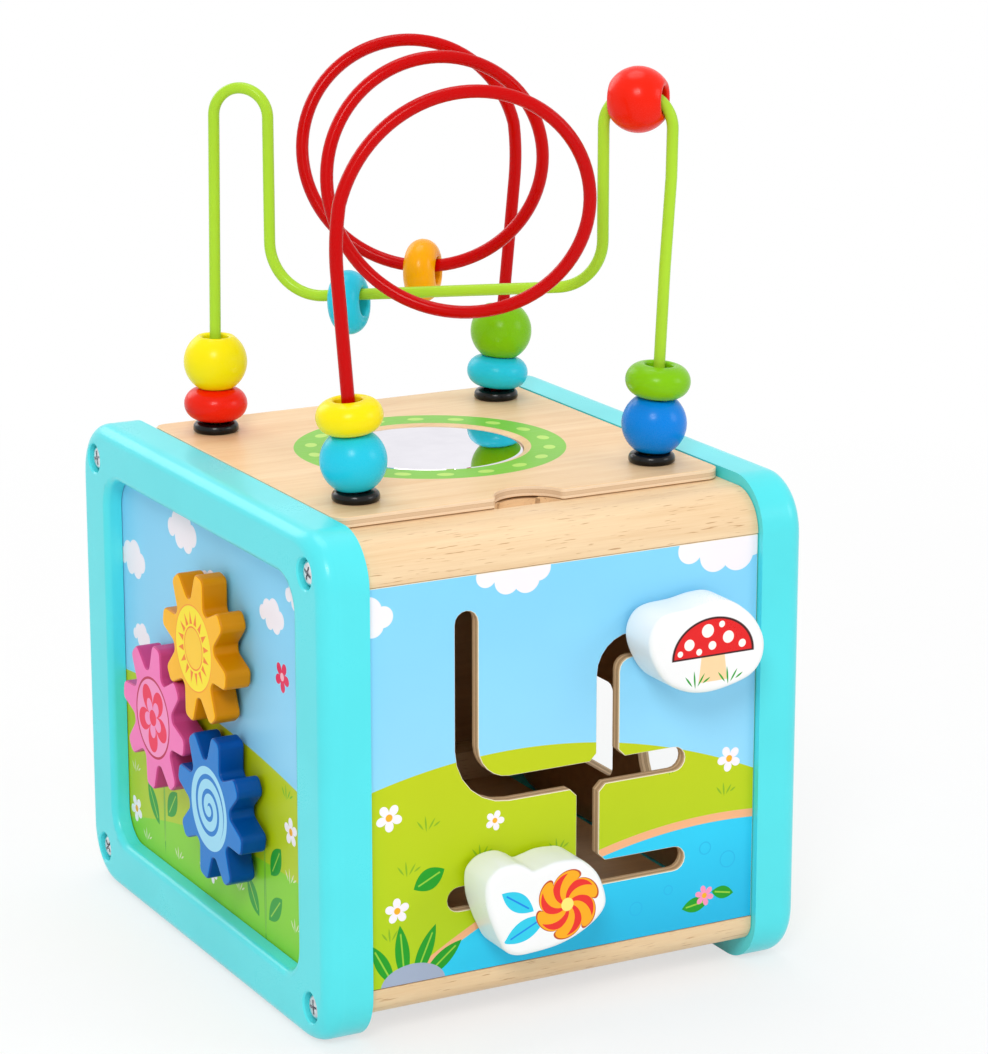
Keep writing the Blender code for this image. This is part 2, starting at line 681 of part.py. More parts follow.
def track_cutters(cutters):
    """The slots as four overlapping bands: long drop with cross run, upper hook, lower drop and lower run."""
    half = SLOT_HALF
    depth = BOARD_THICKNESS + 0.004
    place = Matrix.Translation((0, -PANEL_FACE_Y - 0.002 + depth, 0)) @ Y_AXIS_PLANE
    shapes = {}
    corner = (LONG_DROP_X, CROSS_RUN_Z)
    outer = filleted(
        [(LONG_DROP_X - half, LONG_DROP_TOP - half), (LONG_DROP_X - half, CROSS_RUN_Z - half),
         (CROSS_RUN_END_X - half, CROSS_RUN_Z - half)], [LONG_DROP_BEND + half], 6,
    )
    inner = filleted(
        [(LONG_DROP_X + half, LONG_DROP_TOP - half), (corner[0] + half, corner[1] + half),
         (CROSS_RUN_END_X - half, CROSS_RUN_Z + half)], [LONG_DROP_BEND - half], 6,
    )
    top = round_end((LONG_DROP_X, LONG_DROP_TOP - half), half, 0)
    end = round_end((CROSS_RUN_END_X - half, CROSS_RUN_Z), half, -90)
    shapes["long"] = top[1:-1] + outer + end[1:-1] + inner[::-1]
    outer = filleted(
        [(UPPER_RUN_END_X - half, UPPER_RUN_Z + half), (UPPER_RISE_X - half, UPPER_RUN_Z + half),
         (UPPER_RISE_X - half, CROSS_RUN_Z + half + JUNCTION_FLARE)], [UPPER_RISE_BEND + half], 6,
    )
    inner = filleted(
        [(UPPER_RUN_END_X - half, UPPER_RUN_Z - half), (UPPER_RISE_X + half, UPPER_RUN_Z - half),
         (UPPER_RISE_X + half, CROSS_RUN_Z + half + JUNCTION_FLARE)], [UPPER_RISE_BEND - half], 4,
    )
    end = round_end((UPPER_RUN_END_X - half, UPPER_RUN_Z), half, -90)
    flare = half + JUNCTION_FLARE
    foot = [(UPPER_RISE_X - flare, CROSS_RUN_Z + half), (UPPER_RISE_X - flare, CROSS_RUN_Z)]
    foot += [(UPPER_RISE_X + flare, CROSS_RUN_Z), (UPPER_RISE_X + flare, CROSS_RUN_Z + half)]
    shapes["upper"] = outer + foot + inner[::-1] + end[1:-1]
    heights = [CROSS_RUN_Z, CROSS_RUN_Z - half, CROSS_RUN_Z - half - JUNCTION_FLARE]
    heights += [LOWER_RUN_Z + half + JUNCTION_FLARE, LOWER_RUN_Z + half, LOWER_RUN_Z]
    line = [(LOWER_DROP_X, z) for z in heights]
    shapes["lower_drop"] = slot_band(line, [flare, flare, half, half, flare, flare])
    shapes["lower_run"] = round_end((LOWER_RUN_END_X - half, LOWER_RUN_Z), half, -90)
    shapes["lower_run"] += round_end((LOWER_RUN_START_X + half, LOWER_RUN_Z), half, 90)
    return [
        as_cutter(flat_shape("slot_" + key, [loop], depth, cutters, place)) for key, loop in shapes.items()
    ]


def make_boards(parts, cutters):
    board_loop = window_loop(REBATE_LEDGE - SEAT_GAP)
    gear_board = flat_shape(
        "gear_board", [board_loop], BOARD_THICKNESS, parts,
        Matrix.Translation((-BOARD_FACE_X + SEAT_GAP, 0, 0)) @ X_AXIS_PLANE,
    )
    for name, (y, z) in (("sun", SUN_GEAR_AT), ("pink", PINK_GEAR_AT), ("blue", BLUE_GEAR_AT)):
        bore = rod(
            name + "_pivot_bore", PIVOT_RADIUS + RUN_GAP,
            BOARD_FACE_X - BOARD_THICKNESS - 0.003, BOARD_FACE_X + 0.003, 16, cutters,
            Matrix.Translation((0, y, z)) @ Matrix.Rotation(math.pi, 4, "Z") @ TURNED_ABOUT_X,
        )
        boolean(gear_board, as_cutter(bore))
    painted(gear_board, "printed_ply")

    half = SORT_HOLE / 2
    square = rounded_rectangle(
        SORT_BACK_Y - half, SORT_BACK_Y + half, SORT_LOW_Z - half, SORT_LOW_Z + half, SORT_CORNER, 3
    )
    circle = arc((SORT_FRONT_Y, SORT_LOW_Z), half, 0, 360, 32)[:-1]
    hexagon = arc((SORT_FRONT_Y, SORT_HIGH_Z), half, 0, 360, 6)[:-1]
    drop = half / 2
    triangle = arc((SORT_BACK_Y, SORT_HIGH_Z - drop * 0.3), half * 1.12, 90, 450, 3)[:-1]
    start = BOARD_FACE_X - SEAT_GAP - BOARD_THICKNESS
    sorter = flat_shape(
        "sorter_board", [board_loop, square, circle, hexagon, triangle], BOARD_THICKNESS, parts,
        Matrix.Translation((start, 0, 0)) @ X_AXIS_PLANE,
    )
    painted(sorter, "printed_ply")

    panel = rectangle(-RAIL_END_X, RAIL_END_X, PANEL_BOTTOM_Z + SEAT_GAP, PANEL_TOP_Z - SEAT_GAP)
    track = flat_shape(
        "track_board", [panel], BOARD_THICKNESS, parts,
        Matrix.Translation((0, -PANEL_FACE_Y + BOARD_THICKNESS, 0)) @ Y_AXIS_PLANE,
    )
    for cutter in track_cutters(cutters):
        boolean(track, cutter)
    painted(track, "printed_ply")

    pin_hole = arc((0, CLOCK_Z), CLOCK_PIN_RADIUS + RUN_GAP, 0, 360, 16)[:-1]
    clock = flat_shape(
        "clock_board", [panel, pin_hole], BOARD_THICKNESS, parts,
        Matrix.Translation((0, PANEL_FACE_Y, 0)) @ Y_AXIS_PLANE,
    )
    painted(clock, "printed_ply")

    floor_y = TONGUE_BACK_Y - SEAT_GAP
    floor = flat_shape(
        "base_board", [rectangle(-RAIL_END_X, RAIL_END_X, -floor_y, floor_y)], FLOOR_THICKNESS, parts,
        Matrix.Translation((0, 0, RAIL_LIFT + FLOOR_LEDGE_HEIGHT + SEAT_GAP)),
    )
    painted(floor, "inner_ply")


def make_lid(parts, cutters):
    loop = rounded_rectangle(-LID_SIDE_X, LID_SIDE_X, -LID_DEPTH / 2, LID_DEPTH / 2, LID_CORNER, 4)
    holes = []
    for sx in (-1, 1):
        for sy in (-1, 1):
            holes.append(arc((sx * POST_X, sy * POST_Y), CAP_SHANK_RADIUS + SEAT_GAP, 0, 360, 16)[:-1])
    place = Matrix.Translation((0, 0, LID_BOTTOM_Z))
    lid = flat_shape("lid", [loop] + holes, LID_THICKNESS, parts, place)
    notch = flat_shape(
        "finger_notch", [notch_loop(0.003)], LID_THICKNESS + 0.004, cutters,
        Matrix.Translation((0, 0, LID_BOTTOM_Z - 0.002)),
    )
    boolean(lid, as_cutter(notch))
    floor = LID_TOP_Z - MIRROR_SINK - MIRROR_THICKNESS - SEAT_GAP
    sunk = turned_shape(
        "mirror_recess",
        [(0, LID_TOP_Z + 0.001), (MIRROR_RADIUS + MIRROR_RIM + 0.001, LID_TOP_Z + 0.001),
         (MIRROR_RADIUS + SEAT_GAP, LID_TOP_Z - MIRROR_SINK), (MIRROR_RADIUS + SEAT_GAP, floor), (0, floor)],
        48, cutters,
    )
    boolean(lid, as_cutter(sunk))
    painted(lid, "lid_ply")
    mirror = rod("mirror", MIRROR_RADIUS, floor + SEAT_GAP, LID_TOP_Z - MIRROR_SINK, 48, parts)
    painted(mirror, "silvered", True)


def make_posts(parts):
    r, low, top = CAP_RADIUS, CAP_BASE_Z, CAP_TOP_Z
    for row, sy in (("front", -1), ("back", 1)):
        for column, sx in (("left", -1), ("right", 1)):
            bore = (RED_WIRE_RADIUS if sx == sy else GREEN_WIRE_RADIUS) + SEAT_GAP
            cap = [
                (bore, top), (bore + 0.0016, top), (r * 0.80, top - 0.0008), (r * 0.96, top - 0.0021),
                (r, low + 0.0008), (r - 0.0005, low), (CAP_SHANK_RADIUS, low),
                (CAP_SHANK_RADIUS, SHANK_END_Z), (bore, SHANK_END_Z),
            ]
            place = Matrix.Translation((sx * POST_X, sy * POST_Y, 0))
            post = turned_shape("post_cap_" + row + "_" + column, cap, 16, parts, place, closed=True)
            painted(post, "black_gloss", True)
            hexagon = arc((0, 0), NUT_RADIUS, 0, 360, 6)[:-1]
            hole = arc((0, 0), CAP_SHANK_RADIUS + SEAT_GAP, 0, 360, 16)[:-1]
            nut = flat_shape(
                "post_nut_" + row + "_" + column, [hexagon, hole], NUT_HEIGHT, parts,
                Matrix.Translation((sx * POST_X, sy * POST_Y, NUT_BOTTOM_Z)),
            )
            painted(nut, "screw_steel")


def on_diagonal(run, z):
    """A point of the green wire's plane, which holds the back left and the front right post."""
    return Vector((run * POST_X / DIAGONAL, -run * POST_Y / DIAGONAL, z))


def sag_height(run):
    """The height of the green wire's long straight stretch."""
    return LID_TOP_Z + SAG_HEIGHT + SAG_SLOPE * run


def green_line():
    """The green wire's centre line, as (run, height)."""
    start, end = -DIAGONAL, DIAGONAL
    left_top = LID_TOP_Z + LEFT_HUMP_HEIGHT
    hump = start + LEFT_LEG_LEAN + LEFT_HUMP_RADIUS
    drop = hump + LEFT_HUMP_RADIUS
    points = [(start, WIRE_END_Z), (start, WIRE_FREE_Z)]
    points += arc((hump, left_top), LEFT_HUMP_RADIUS, 180, 0, 12)
    right_top = LID_TOP_Z + RIGHT_HUMP_HEIGHT
    right_hump = end + RIGHT_HUMP_REACH - RIGHT_HUMP_RADIUS
    foot = RISE_FOOT_RUN
    bends = filleted(
        [(drop, left_top), (drop, sag_height(drop)), (foot, sag_height(foot)),
         (right_hump - RIGHT_HUMP_RADIUS, right_top)],
        [SAG_BEND_RADIUS, RISE_BEND_RADIUS], 7,
    )
    points += bends[1:-1]
    points += arc((right_hump, right_top), RIGHT_HUMP_RADIUS, 180, 0, 14)
    points += [(end + RIGHT_HUMP_REACH - 0.0003, right_top - RIGHT_HUMP_LEG)]
    points += [(end + RIGHT_KNEE_REACH, LID_TOP_Z + RIGHT_KNEE_HEIGHT)]
    points += [(end + RIGHT_KNEE_REACH * 0.6, LID_TOP_Z + RIGHT_KNEE_HEIGHT * 0.5)]
    points += [(end, WIRE_FREE_Z), (end, WIRE_END_Z)]
    return points


def coil_ends():
    start = Vector((-POST_X - COIL_START_REACH, -POST_Y, LID_TOP_Z + COIL_START_HEIGHT))
    end = Vector((POST_X + COIL_END_REACH, POST_Y, LID_TOP_Z + COIL_END_HEIGHT))
    return start, end


def coil_point(turn):
    """A point of the red wire's coil, from turn 0 at the front left to its last turn at the back right."""
    share = turn / COIL_TURNS
    hump = 4 * share * (1 - share)
    radius = COIL_START_RADIUS + (COIL_END_RADIUS - COIL_START_RADIUS) * share + COIL_WAIST * hump
    across = Vector((math.cos(COIL_HEADING), math.sin(COIL_HEADING), 0))
    start, end = coil_ends()
    first = start + across * COIL_START_RADIUS
    last = end - across * COIL_END_RADIUS
    centre = first.lerp(last, share)
    centre.z = start.z + (end.z - start.z) * share + hump * COIL_CROWN
    angle = 2 * math.pi * turn
    return centre - across * radius * math.cos(angle) + Vector((0, 0, COIL_ASPECT * radius * math.sin(angle)))


def softened(before, corner, after, reach):
    """Four points that round one corner of a line."""
    first = corner + (before - corner).normalized() * reach
    last = corner + (after - corner).normalized() * reach
    points = []
    for step in range(4):
        t = step / 3
        points.append(first * (1 - t) ** 2 + corner * 2 * t * (1 - t) + last * t * t)
    return points


def red_line():
    start, end = coil_ends()
    low_left = Vector((-POST_X, -POST_Y, WIRE_FREE_Z))
    low_right = Vector((POST_X, POST_Y, WIRE_FREE_Z))
    count = round(COIL_TURNS * COIL_POINTS_A_TURN)
    coil = [coil_point(COIL_TURNS * step / count) for step in range(1, count)]
    points = [Vector((-POST_X, -POST_Y, WIRE_END_Z)), low_left]
    points += softened(low_left, start, coil[0], COIL_EASE)
    points += coil
    points += softened(coil[-1], end, low_right, COIL_EASE)
    points += [low_right, Vector((POST_X, POST_Y, WIRE_END_Z))]
    return points


def coil_gap():
    """The least gap between two stretches of the coil that lie at least a third of a turn apart."""
    count = round(COIL_TURNS * 72)
    spots = [coil_point(COIL_TURNS * step / count) for step in range(count + 1)]
    least = min(
        (spots[i] - spots[j]).length for i in range(count + 1) for j in range(i + 24, count + 1)
    )
    return least - 2 * RED_WIRE_RADIUS


def make_wires(parts):
    green = wire("wire_green", GREEN_WIRE_RADIUS, [on_diagonal(run, z) for run, z in green_line()], 2, parts)
    painted(green, "lime_enamel", True)
    red = wire("wire_red", RED_WIRE_RADIUS, red_line(), 1, parts)
    painted(red, "red_enamel", True)
    print(f"least gap of the red coil to itself: {coil_gap() * 1000:.2f} mm")


def bead_profile(half):
    """A bead's section, from its top bore edge down the outside and back up the bore."""
    flat = BEAD_BORE_RADIUS + BORE_CHAMFER
    bulge = BEAD_RADIUS - flat
    outer = []
    for step in range(7):
        angle = math.radians(90 - 30 * step)
        power = 0.8 if half < BEAD_RADIUS * 0.7 else 0.9
        side = math.copysign(abs(math.sin(angle)) ** power, math.sin(angle))
        outer.append((flat + bulge * abs(math.cos(angle)) ** power, half * side))
    inner = [(BEAD_BORE_RADIUS, -half + BORE_CHAMFER), (BEAD_BORE_RADIUS, half - BORE_CHAMFER)]
    return outer + inner


def bead(name, half, colour, centre, axis, parts):
    turn = Vector((0, 0, 1)).rotation_difference(axis).to_matrix().to_4x4()
    made = turned_shape(name, bead_profile(half), 16, parts, Matrix.Translation(centre) @ turn, closed=True)
    return painted(made, colour, True)


def bead_stack(foot, top, beads, parts):
    """Beads that rest on a post cap, one on another, along the lower run of a wire."""
    axis = (top - foot).normalized()
    height = BEAD_GAP
    for name, half, colour in beads:
        height += half
        bead(name, half, colour, foot + axis * height, axis, parts)
        height += half + BEAD_GAP


def leg_foot(sx, sy):
    return Vector((sx * POST_X, sy * POST_Y, CAP_TOP_Z))


def make_beads(parts):
    start, end = coil_ends()
    bead_stack(leg_foot(-1, -1), start, [
        ("bead_front_left_ball", BALL_HALF, "bead_sky"), ("bead_front_left_disc", DISC_HALF, "bead_yellow"),
    ], parts)
    bead_stack(leg_foot(1, 1), end, [
        ("bead_back_right_disc", DISC_HALF, "bead_sky"), ("bead_back_right_ball", BALL_HALF, "bead_green"),
    ], parts)
    left_top = on_diagonal(-DIAGONAL + LEFT_LEG_LEAN, LID_TOP_Z + LEFT_HUMP_HEIGHT)
    bead_stack(leg_foot(-1, 1), left_top, [
        ("bead_back_left_disc", DISC_HALF, "bead_red"), ("bead_back_left_ball", BALL_HALF, "bead_yellow"),
    ], parts)
    knee = on_diagonal(DIAGONAL + RIGHT_KNEE_REACH * 0.6, LID_TOP_Z + RIGHT_KNEE_HEIGHT * 0.5)
    bead_stack(leg_foot(1, -1), knee, [
        ("bead_front_right_ball", BALL_HALF, "bead_blue"), ("bead_front_right_disc", DISC_HALF, "bead_green"),
    ], parts)

    along = on_diagonal(1.0, SAG_SLOPE).normalized()
    below = along.cross(Vector((POST_Y, POST_X, 0)).normalized())
    below = below if below.z < 0 else -below
    spot = on_diagonal(SAG_BEAD_RUN, sag_height(SAG_BEAD_RUN)) + below * GREEN_HANG
    bead("bead_sag_disc", DISC_HALF, "bead_sky", spot, along, parts)

    centre = DIAGONAL + RIGHT_HUMP_REACH - RIGHT_HUMP_RADIUS
    top = LID_TOP_Z + RIGHT_HUMP_HEIGHT + RIGHT_HUMP_RADIUS
    run = on_diagonal(1.0, 0.0).normalized()
    bead("bead_hump_ball", BALL_HALF, "bead_red", on_diagonal(centre, top - GREEN_HANG), run, parts)

    spot = coil_point(LOOP_BEAD_TURN)
    along = (coil_point(LOOP_BEAD_TURN + 0.01) - coil_point(LOOP_BEAD_TURN - 0.01)).normalized()
    below = Vector((0, 0, -1)) - along * Vector((0, 0, -1)).dot(along)
    hang = RED_HANG - DISC_HALF * math.tan(math.pi / COIL_POINTS_A_TURN)
    bead("bead_loop_disc", DISC_HALF, "bead_orange", spot + below.normalized() * hang, along, parts)


def make_mover(name, points, colour, stem_x, stem_z, parts, cutters):
    """A sliding block in front of the track board, and its stem with a keeper disc behind the board."""
    back = -PANEL_FACE_Y - BLOCK_STANDOFF
    place = Matrix.Translation((stem_x, back, stem_z)) @ Y_AXIS_PLANE
    block = flat_shape(name, [smooth_loop(points)], BLOCK_THICKNESS, parts, place)
    bevel(block, BLOCK_EDGE, 2)
    socket = rod(
        name + "_socket", STEM_RADIUS + SEAT_GAP, -0.002, STEM_SOCKET_DEPTH + SEAT_GAP, 16, cutters,
        Matrix.Translation((stem_x, back, stem_z)) @ Matrix.Rotation(math.pi, 4, "Z") @ TURNED_ABOUT_Y,
    )
    boolean(block, as_cutter(socket))
    painted(block, colour)
    rear = TONGUE_FACE_Y
    tip = STEM_SOCKET_DEPTH - back
    turn = Matrix.Rotation(math.pi, 4, "Z") @ TURNED_ABOUT_Y
    keeper = turned_shape(
        name + "_keeper",
        [(0, tip), (STEM_RADIUS, tip), (STEM_RADIUS, rear), (KEEPER_RADIUS, rear),
         (KEEPER_RADIUS, rear - KEEPER_THICKNESS), (0, rear - KEEPER_THICKNESS)],
        16, parts, Matrix.Translation((stem_x, 0, stem_z)) @ turn,
    )
    painted(keeper, "stem_wood", True)


def block_outline(points):
    """A block's outline in metres, round its stem."""
    return [(x * BLOCK_OUTLINE_UNIT, z * BLOCK_OUTLINE_UNIT) for x, z in points]


def make_movers(parts, cutters):
    upper = block_outline(UPPER_BLOCK_OUTLINE)
    make_mover("upper_block", upper, "white_paint", UPPER_STEM_X, UPPER_RUN_Z, parts, cutters)
    lower = block_outline(LOWER_BLOCK_OUTLINE)
    make_mover("lower_block", lower, "white_paint", LOWER_BLOCK_X, LOWER_RUN_Z, parts, cutters)


def gear_loop(phase):
    """A gear's outline, with straight tooth flanks that taper outwards. Angles run from +Z towards +Y."""
    loop = []
    stations = [
        (GEAR_ROOT_RADIUS, GEAR_BASE_HALF), (GEAR_TIP_RADIUS - 0.0014, GEAR_TIP_HALF + 0.0002),
        (GEAR_TIP_RADIUS - 0.0003, GEAR_TIP_HALF - 0.0011),
    ]
    for tooth in range(GEAR_TEETH):
        angle = math.radians(phase + 360 * tooth / GEAR_TEETH)
        for sign in (-1, 1):
            flank = stations if sign < 0 else stations[::-1]
            for radius, half in flank:
                up = math.sqrt(radius ** 2 - half ** 2)
                side = sign * half
                y = up * math.sin(angle) + side * math.cos(angle)
                z = up * math.cos(angle) - side * math.sin(angle)
                loop.append((y, z))
    return loop


def make_gears(parts, cutters):
    gears = (
        ("sun", SUN_GEAR_AT, SUN_GEAR_PHASE, "sun_paint"),
        ("pink", PINK_GEAR_AT, PINK_GEAR_PHASE, "pink_paint"),
        ("blue", BLUE_GEAR_AT, BLUE_GEAR_PHASE, "blue_paint"),
    )
    about_x = Matrix.Rotation(math.pi, 4, "Z") @ TURNED_ABOUT_X
    for name, (y, z), phase, colour in gears:
        at = Matrix.Translation((0, y, z))
        gear = flat_shape(name + "_gear", [gear_loop(phase)], GEAR_THICKNESS, parts, X_AXIS_PLANE)
        gear.data.transform(Matrix.Translation((-GEAR_FACE_X, 0, 0)) @ gear.matrix_world)
        gear.matrix_world = at
        bevel(gear, GEAR_EDGE, 1, 50)
        boss = rod(
            name + "_boss", GEAR_BOSS_RADIUS, BOARD_FACE_X + RUN_GAP, GEAR_BACK_X + 0.003, 20,
            cutters, at @ about_x,
        )
        boolean(gear, as_cutter(boss), "UNION")
        bore = rod(
            name + "_gear_bore", PIVOT_RADIUS + RUN_GAP, BOARD_FACE_X - 0.002,
            GEAR_BACK_X + PIVOT_REACH + SEAT_GAP, 16, cutters, at @ about_x,
        )
        boolean(gear, as_cutter(bore))
        painted(gear, colour)
        end = GEAR_BACK_X + PIVOT_REACH
        back = BOARD_FACE_X - SEAT_GAP - BOARD_THICKNESS - SEAT_GAP
        head = back - PIVOT_HEAD_HEIGHT
        pivot = turned_shape(
            name + "_pivot",
            [(0, end), (PIVOT_RADIUS, end), (PIVOT_RADIUS, back), (PIVOT_HEAD_RADIUS, back),
             (PIVOT_HEAD_RADIUS, head), (0, head)],
            16, parts, at @ about_x,
        )
        painted(pivot, "screw_steel", True)


def hand_loops(length, half):
    """A pointed clock hand along +Z with a hole at its hub."""
    neck = CLOCK_HUB_RADIUS * 0.8
    widest = length * 0.62
    outer = [(half * 0.7, neck), (half, widest), (0, length), (-half, widest), (-half * 0.7, neck)]
    hub = arc((0, 0), CLOCK_HUB_RADIUS, 145, 395, 10)
    hole = arc((0, 0), CLOCK_PIN_RADIUS + RUN_GAP, 0, 360, 16)[:-1]
    return [outer + hub, hole]


def make_clock(parts):
    face = PANEL_FACE_Y + RUN_GAP
    outer_face = face + HAND_THICKNESS + RUN_GAP
    hands = (
        ("hour_hand", HOUR_HAND_LENGTH, HOUR_HAND_HALF, HOUR_HAND_ANGLE, face, "bead_red"),
        ("minute_hand", MINUTE_HAND_LENGTH, MINUTE_HAND_HALF, MINUTE_HAND_ANGLE, outer_face, "bead_blue"),
    )
    for name, length, half, angle, start, colour in hands:
        turn = Matrix.Rotation(math.radians(-angle), 4, "Y") @ Matrix.Rotation(math.pi, 4, "Z")
        place = Matrix.Translation((0, start, CLOCK_Z)) @ turn @ Y_AXIS_PLANE
        hand = flat_shape(name, hand_loops(length, half), HAND_THICKNESS, parts, place)
        painted(hand, colour)
    shoulder = face + 2 * HAND_THICKNESS + 2 * RUN_GAP
    inside = PANEL_FACE_Y - BOARD_THICKNESS - RUN_GAP
    tail = inside - CLOCK_PIN_CAP
    r, head = CLOCK_PIN_RADIUS, CLOCK_PIN_HEAD
    pin = turned_shape(
        "clock_pin",
        [(0, CLOCK_FACE_Y), (head * 0.6, CLOCK_FACE_Y - 0.0003), (head, CLOCK_FACE_Y - CLOCK_PIN_CAP * 0.6),
         (head, shoulder), (r, shoulder), (r, inside), (head, inside), (head, tail), (0, tail)],
        16, parts, Matrix.Translation((0, 0, CLOCK_Z)) @ TURNED_ABOUT_Y,
    )
    painted(pin, "bead_yellow", True)


def main():
    clear_scene()
    parts = new_collection("activity_cube")
    cutters = new_collection("cutters", hidden=True)
    make_frames(parts, cutters)
    make_screws(parts, cutters)
    make_rails(parts, cutters)
    make_boards(parts, cutters)
    make_lid(parts, cutters)
    make_posts(parts)
    make_wires(parts)
    make_beads(parts)
    make_movers(parts, cutters)
    make_gears(parts, cutters)
    make_clock(parts)
    root = bpy.data.objects.new("cube_middle", None)
    parts.objects.link(root)
    root.location = (-MIDDLE_X, -MIDDLE_Y, 0)
    for obj in list(parts.objects) + list(cutters.objects):
        if obj is not root:
            obj.parent = root
    bpy.context.view_layer.update()


if __name__ == "__main__":
    main()
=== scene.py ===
"""The looks of a wooden activity cube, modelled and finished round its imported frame.

Laid out as a Blender add-on and run as a script: one operator for each kind of piece and one for the stage.
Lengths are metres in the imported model's frame. Printed patterns are drawn in millimetres on their own face.
"""

import json
import math
from contextlib import contextmanager

import bmesh
import bpy
from bpy.props import FloatProperty, FloatVectorProperty, IntProperty, PointerProperty
from mathutils import Matrix, Vector

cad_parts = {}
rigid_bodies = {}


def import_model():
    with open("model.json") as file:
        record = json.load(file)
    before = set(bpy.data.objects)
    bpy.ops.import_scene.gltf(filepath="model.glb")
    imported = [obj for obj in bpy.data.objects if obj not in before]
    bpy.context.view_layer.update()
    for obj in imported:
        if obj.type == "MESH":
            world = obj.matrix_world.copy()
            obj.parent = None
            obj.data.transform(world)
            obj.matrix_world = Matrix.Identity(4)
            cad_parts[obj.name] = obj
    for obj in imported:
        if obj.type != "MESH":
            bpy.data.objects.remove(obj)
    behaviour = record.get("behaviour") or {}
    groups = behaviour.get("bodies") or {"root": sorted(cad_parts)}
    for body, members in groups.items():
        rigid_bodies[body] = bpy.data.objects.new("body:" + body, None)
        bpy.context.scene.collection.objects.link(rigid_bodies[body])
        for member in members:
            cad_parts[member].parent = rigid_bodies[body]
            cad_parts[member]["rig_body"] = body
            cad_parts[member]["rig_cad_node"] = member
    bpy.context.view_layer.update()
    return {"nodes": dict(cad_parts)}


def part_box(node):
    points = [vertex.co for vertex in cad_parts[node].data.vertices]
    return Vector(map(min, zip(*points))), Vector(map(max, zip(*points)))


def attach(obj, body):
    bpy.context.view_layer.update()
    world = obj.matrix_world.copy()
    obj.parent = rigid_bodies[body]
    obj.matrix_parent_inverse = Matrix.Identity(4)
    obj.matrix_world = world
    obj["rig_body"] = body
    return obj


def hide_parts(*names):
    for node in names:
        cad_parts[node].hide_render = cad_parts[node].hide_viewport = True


bl_info = {
    "name": "Wooden Activity Cube",
    "version": (1, 0, 0),
    "blender": (4, 5, 0),
    "location": "View3D > Sidebar > Activity Cube",
    "description": "Models and finishes the pieces of a wooden activity cube with a bead maze",
    "category": "Add Mesh",
}

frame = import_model()


def node_middle(node):
    low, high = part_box(node)
    return (low + high) / 2


left_low, left_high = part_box("side_frame_left")
right_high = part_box("side_frame_right")[1]
lid_low, lid_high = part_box("lid")
MIDDLE = Vector(((left_low.x + right_high.x) / 2, (left_low.y + left_high.y) / 2, 0))
HALF_WIDTH = (right_high.x - left_low.x) / 2
HALF_DEPTH = (left_high.y - left_low.y) / 2
FRAME_TOP = left_high.z
LID_TOP = lid_high.z
CAP_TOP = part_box("post_cap_front_left")[1].z
POST = node_middle("post_cap_back_right") - MIDDLE
POST_REACH = math.hypot(POST.x, POST.y)

# The room between two parts that meet, and how near a face a point counts as on it.
PLAY, TOUCH = 0.0003, 0.0001

PLAIN = Matrix.Identity(4)
X_SIDE = Matrix(((0, 0, 1, 0), (1, 0, 0, 0), (0, 1, 0, 0), (0, 0, 0, 1)))
FRONT_SIDE = Matrix(((1, 0, 0, 0), (0, 0, -1, 0), (0, 1, 0, 0), (0, 0, 0, 1)))
LIE_ON_X = Matrix(((0, 0, 1, 0), (0, 1, 0, 0), (-1, 0, 0, 0), (0, 0, 0, 1)))
LIE_ON_Y = Matrix(((1, 0, 0, 0), (0, 0, 1, 0), (0, -1, 0, 0), (0, 0, 0, 1)))
HALF_TURN = Matrix.Rotation(math.pi, 4, "Z")

LEFTWARD, RIGHTWARD, FORWARD, BACKWARD, UPWARD = (-1, 0, 0), (1, 0, 0), (0, -1, 0), (0, 1, 0), (0, 0, 1)
X_AXIS, Y_AXIS, Z_AXIS = 0, 1, 2


def srgb(red, green, blue):
    """A colour as seen on a screen, 0 to 255, in Blender's linear numbers."""
    parts = (red / 255, green / 255, blue / 255)
    return tuple(((part + 0.055) / 1.055) ** 2.4 if part > 0.04 else part / 12.92 for part in parts)


def paint(label, description, colour):
    return FloatVectorProperty(
        name=label, description=description, subtype="COLOR", size=3, min=0, max=1, default=srgb(*colour)
    )


def length(label, description, metres):
    return FloatProperty(
        name=label, description=description, default=metres, min=0.0, precision=4, unit="LENGTH"
    )


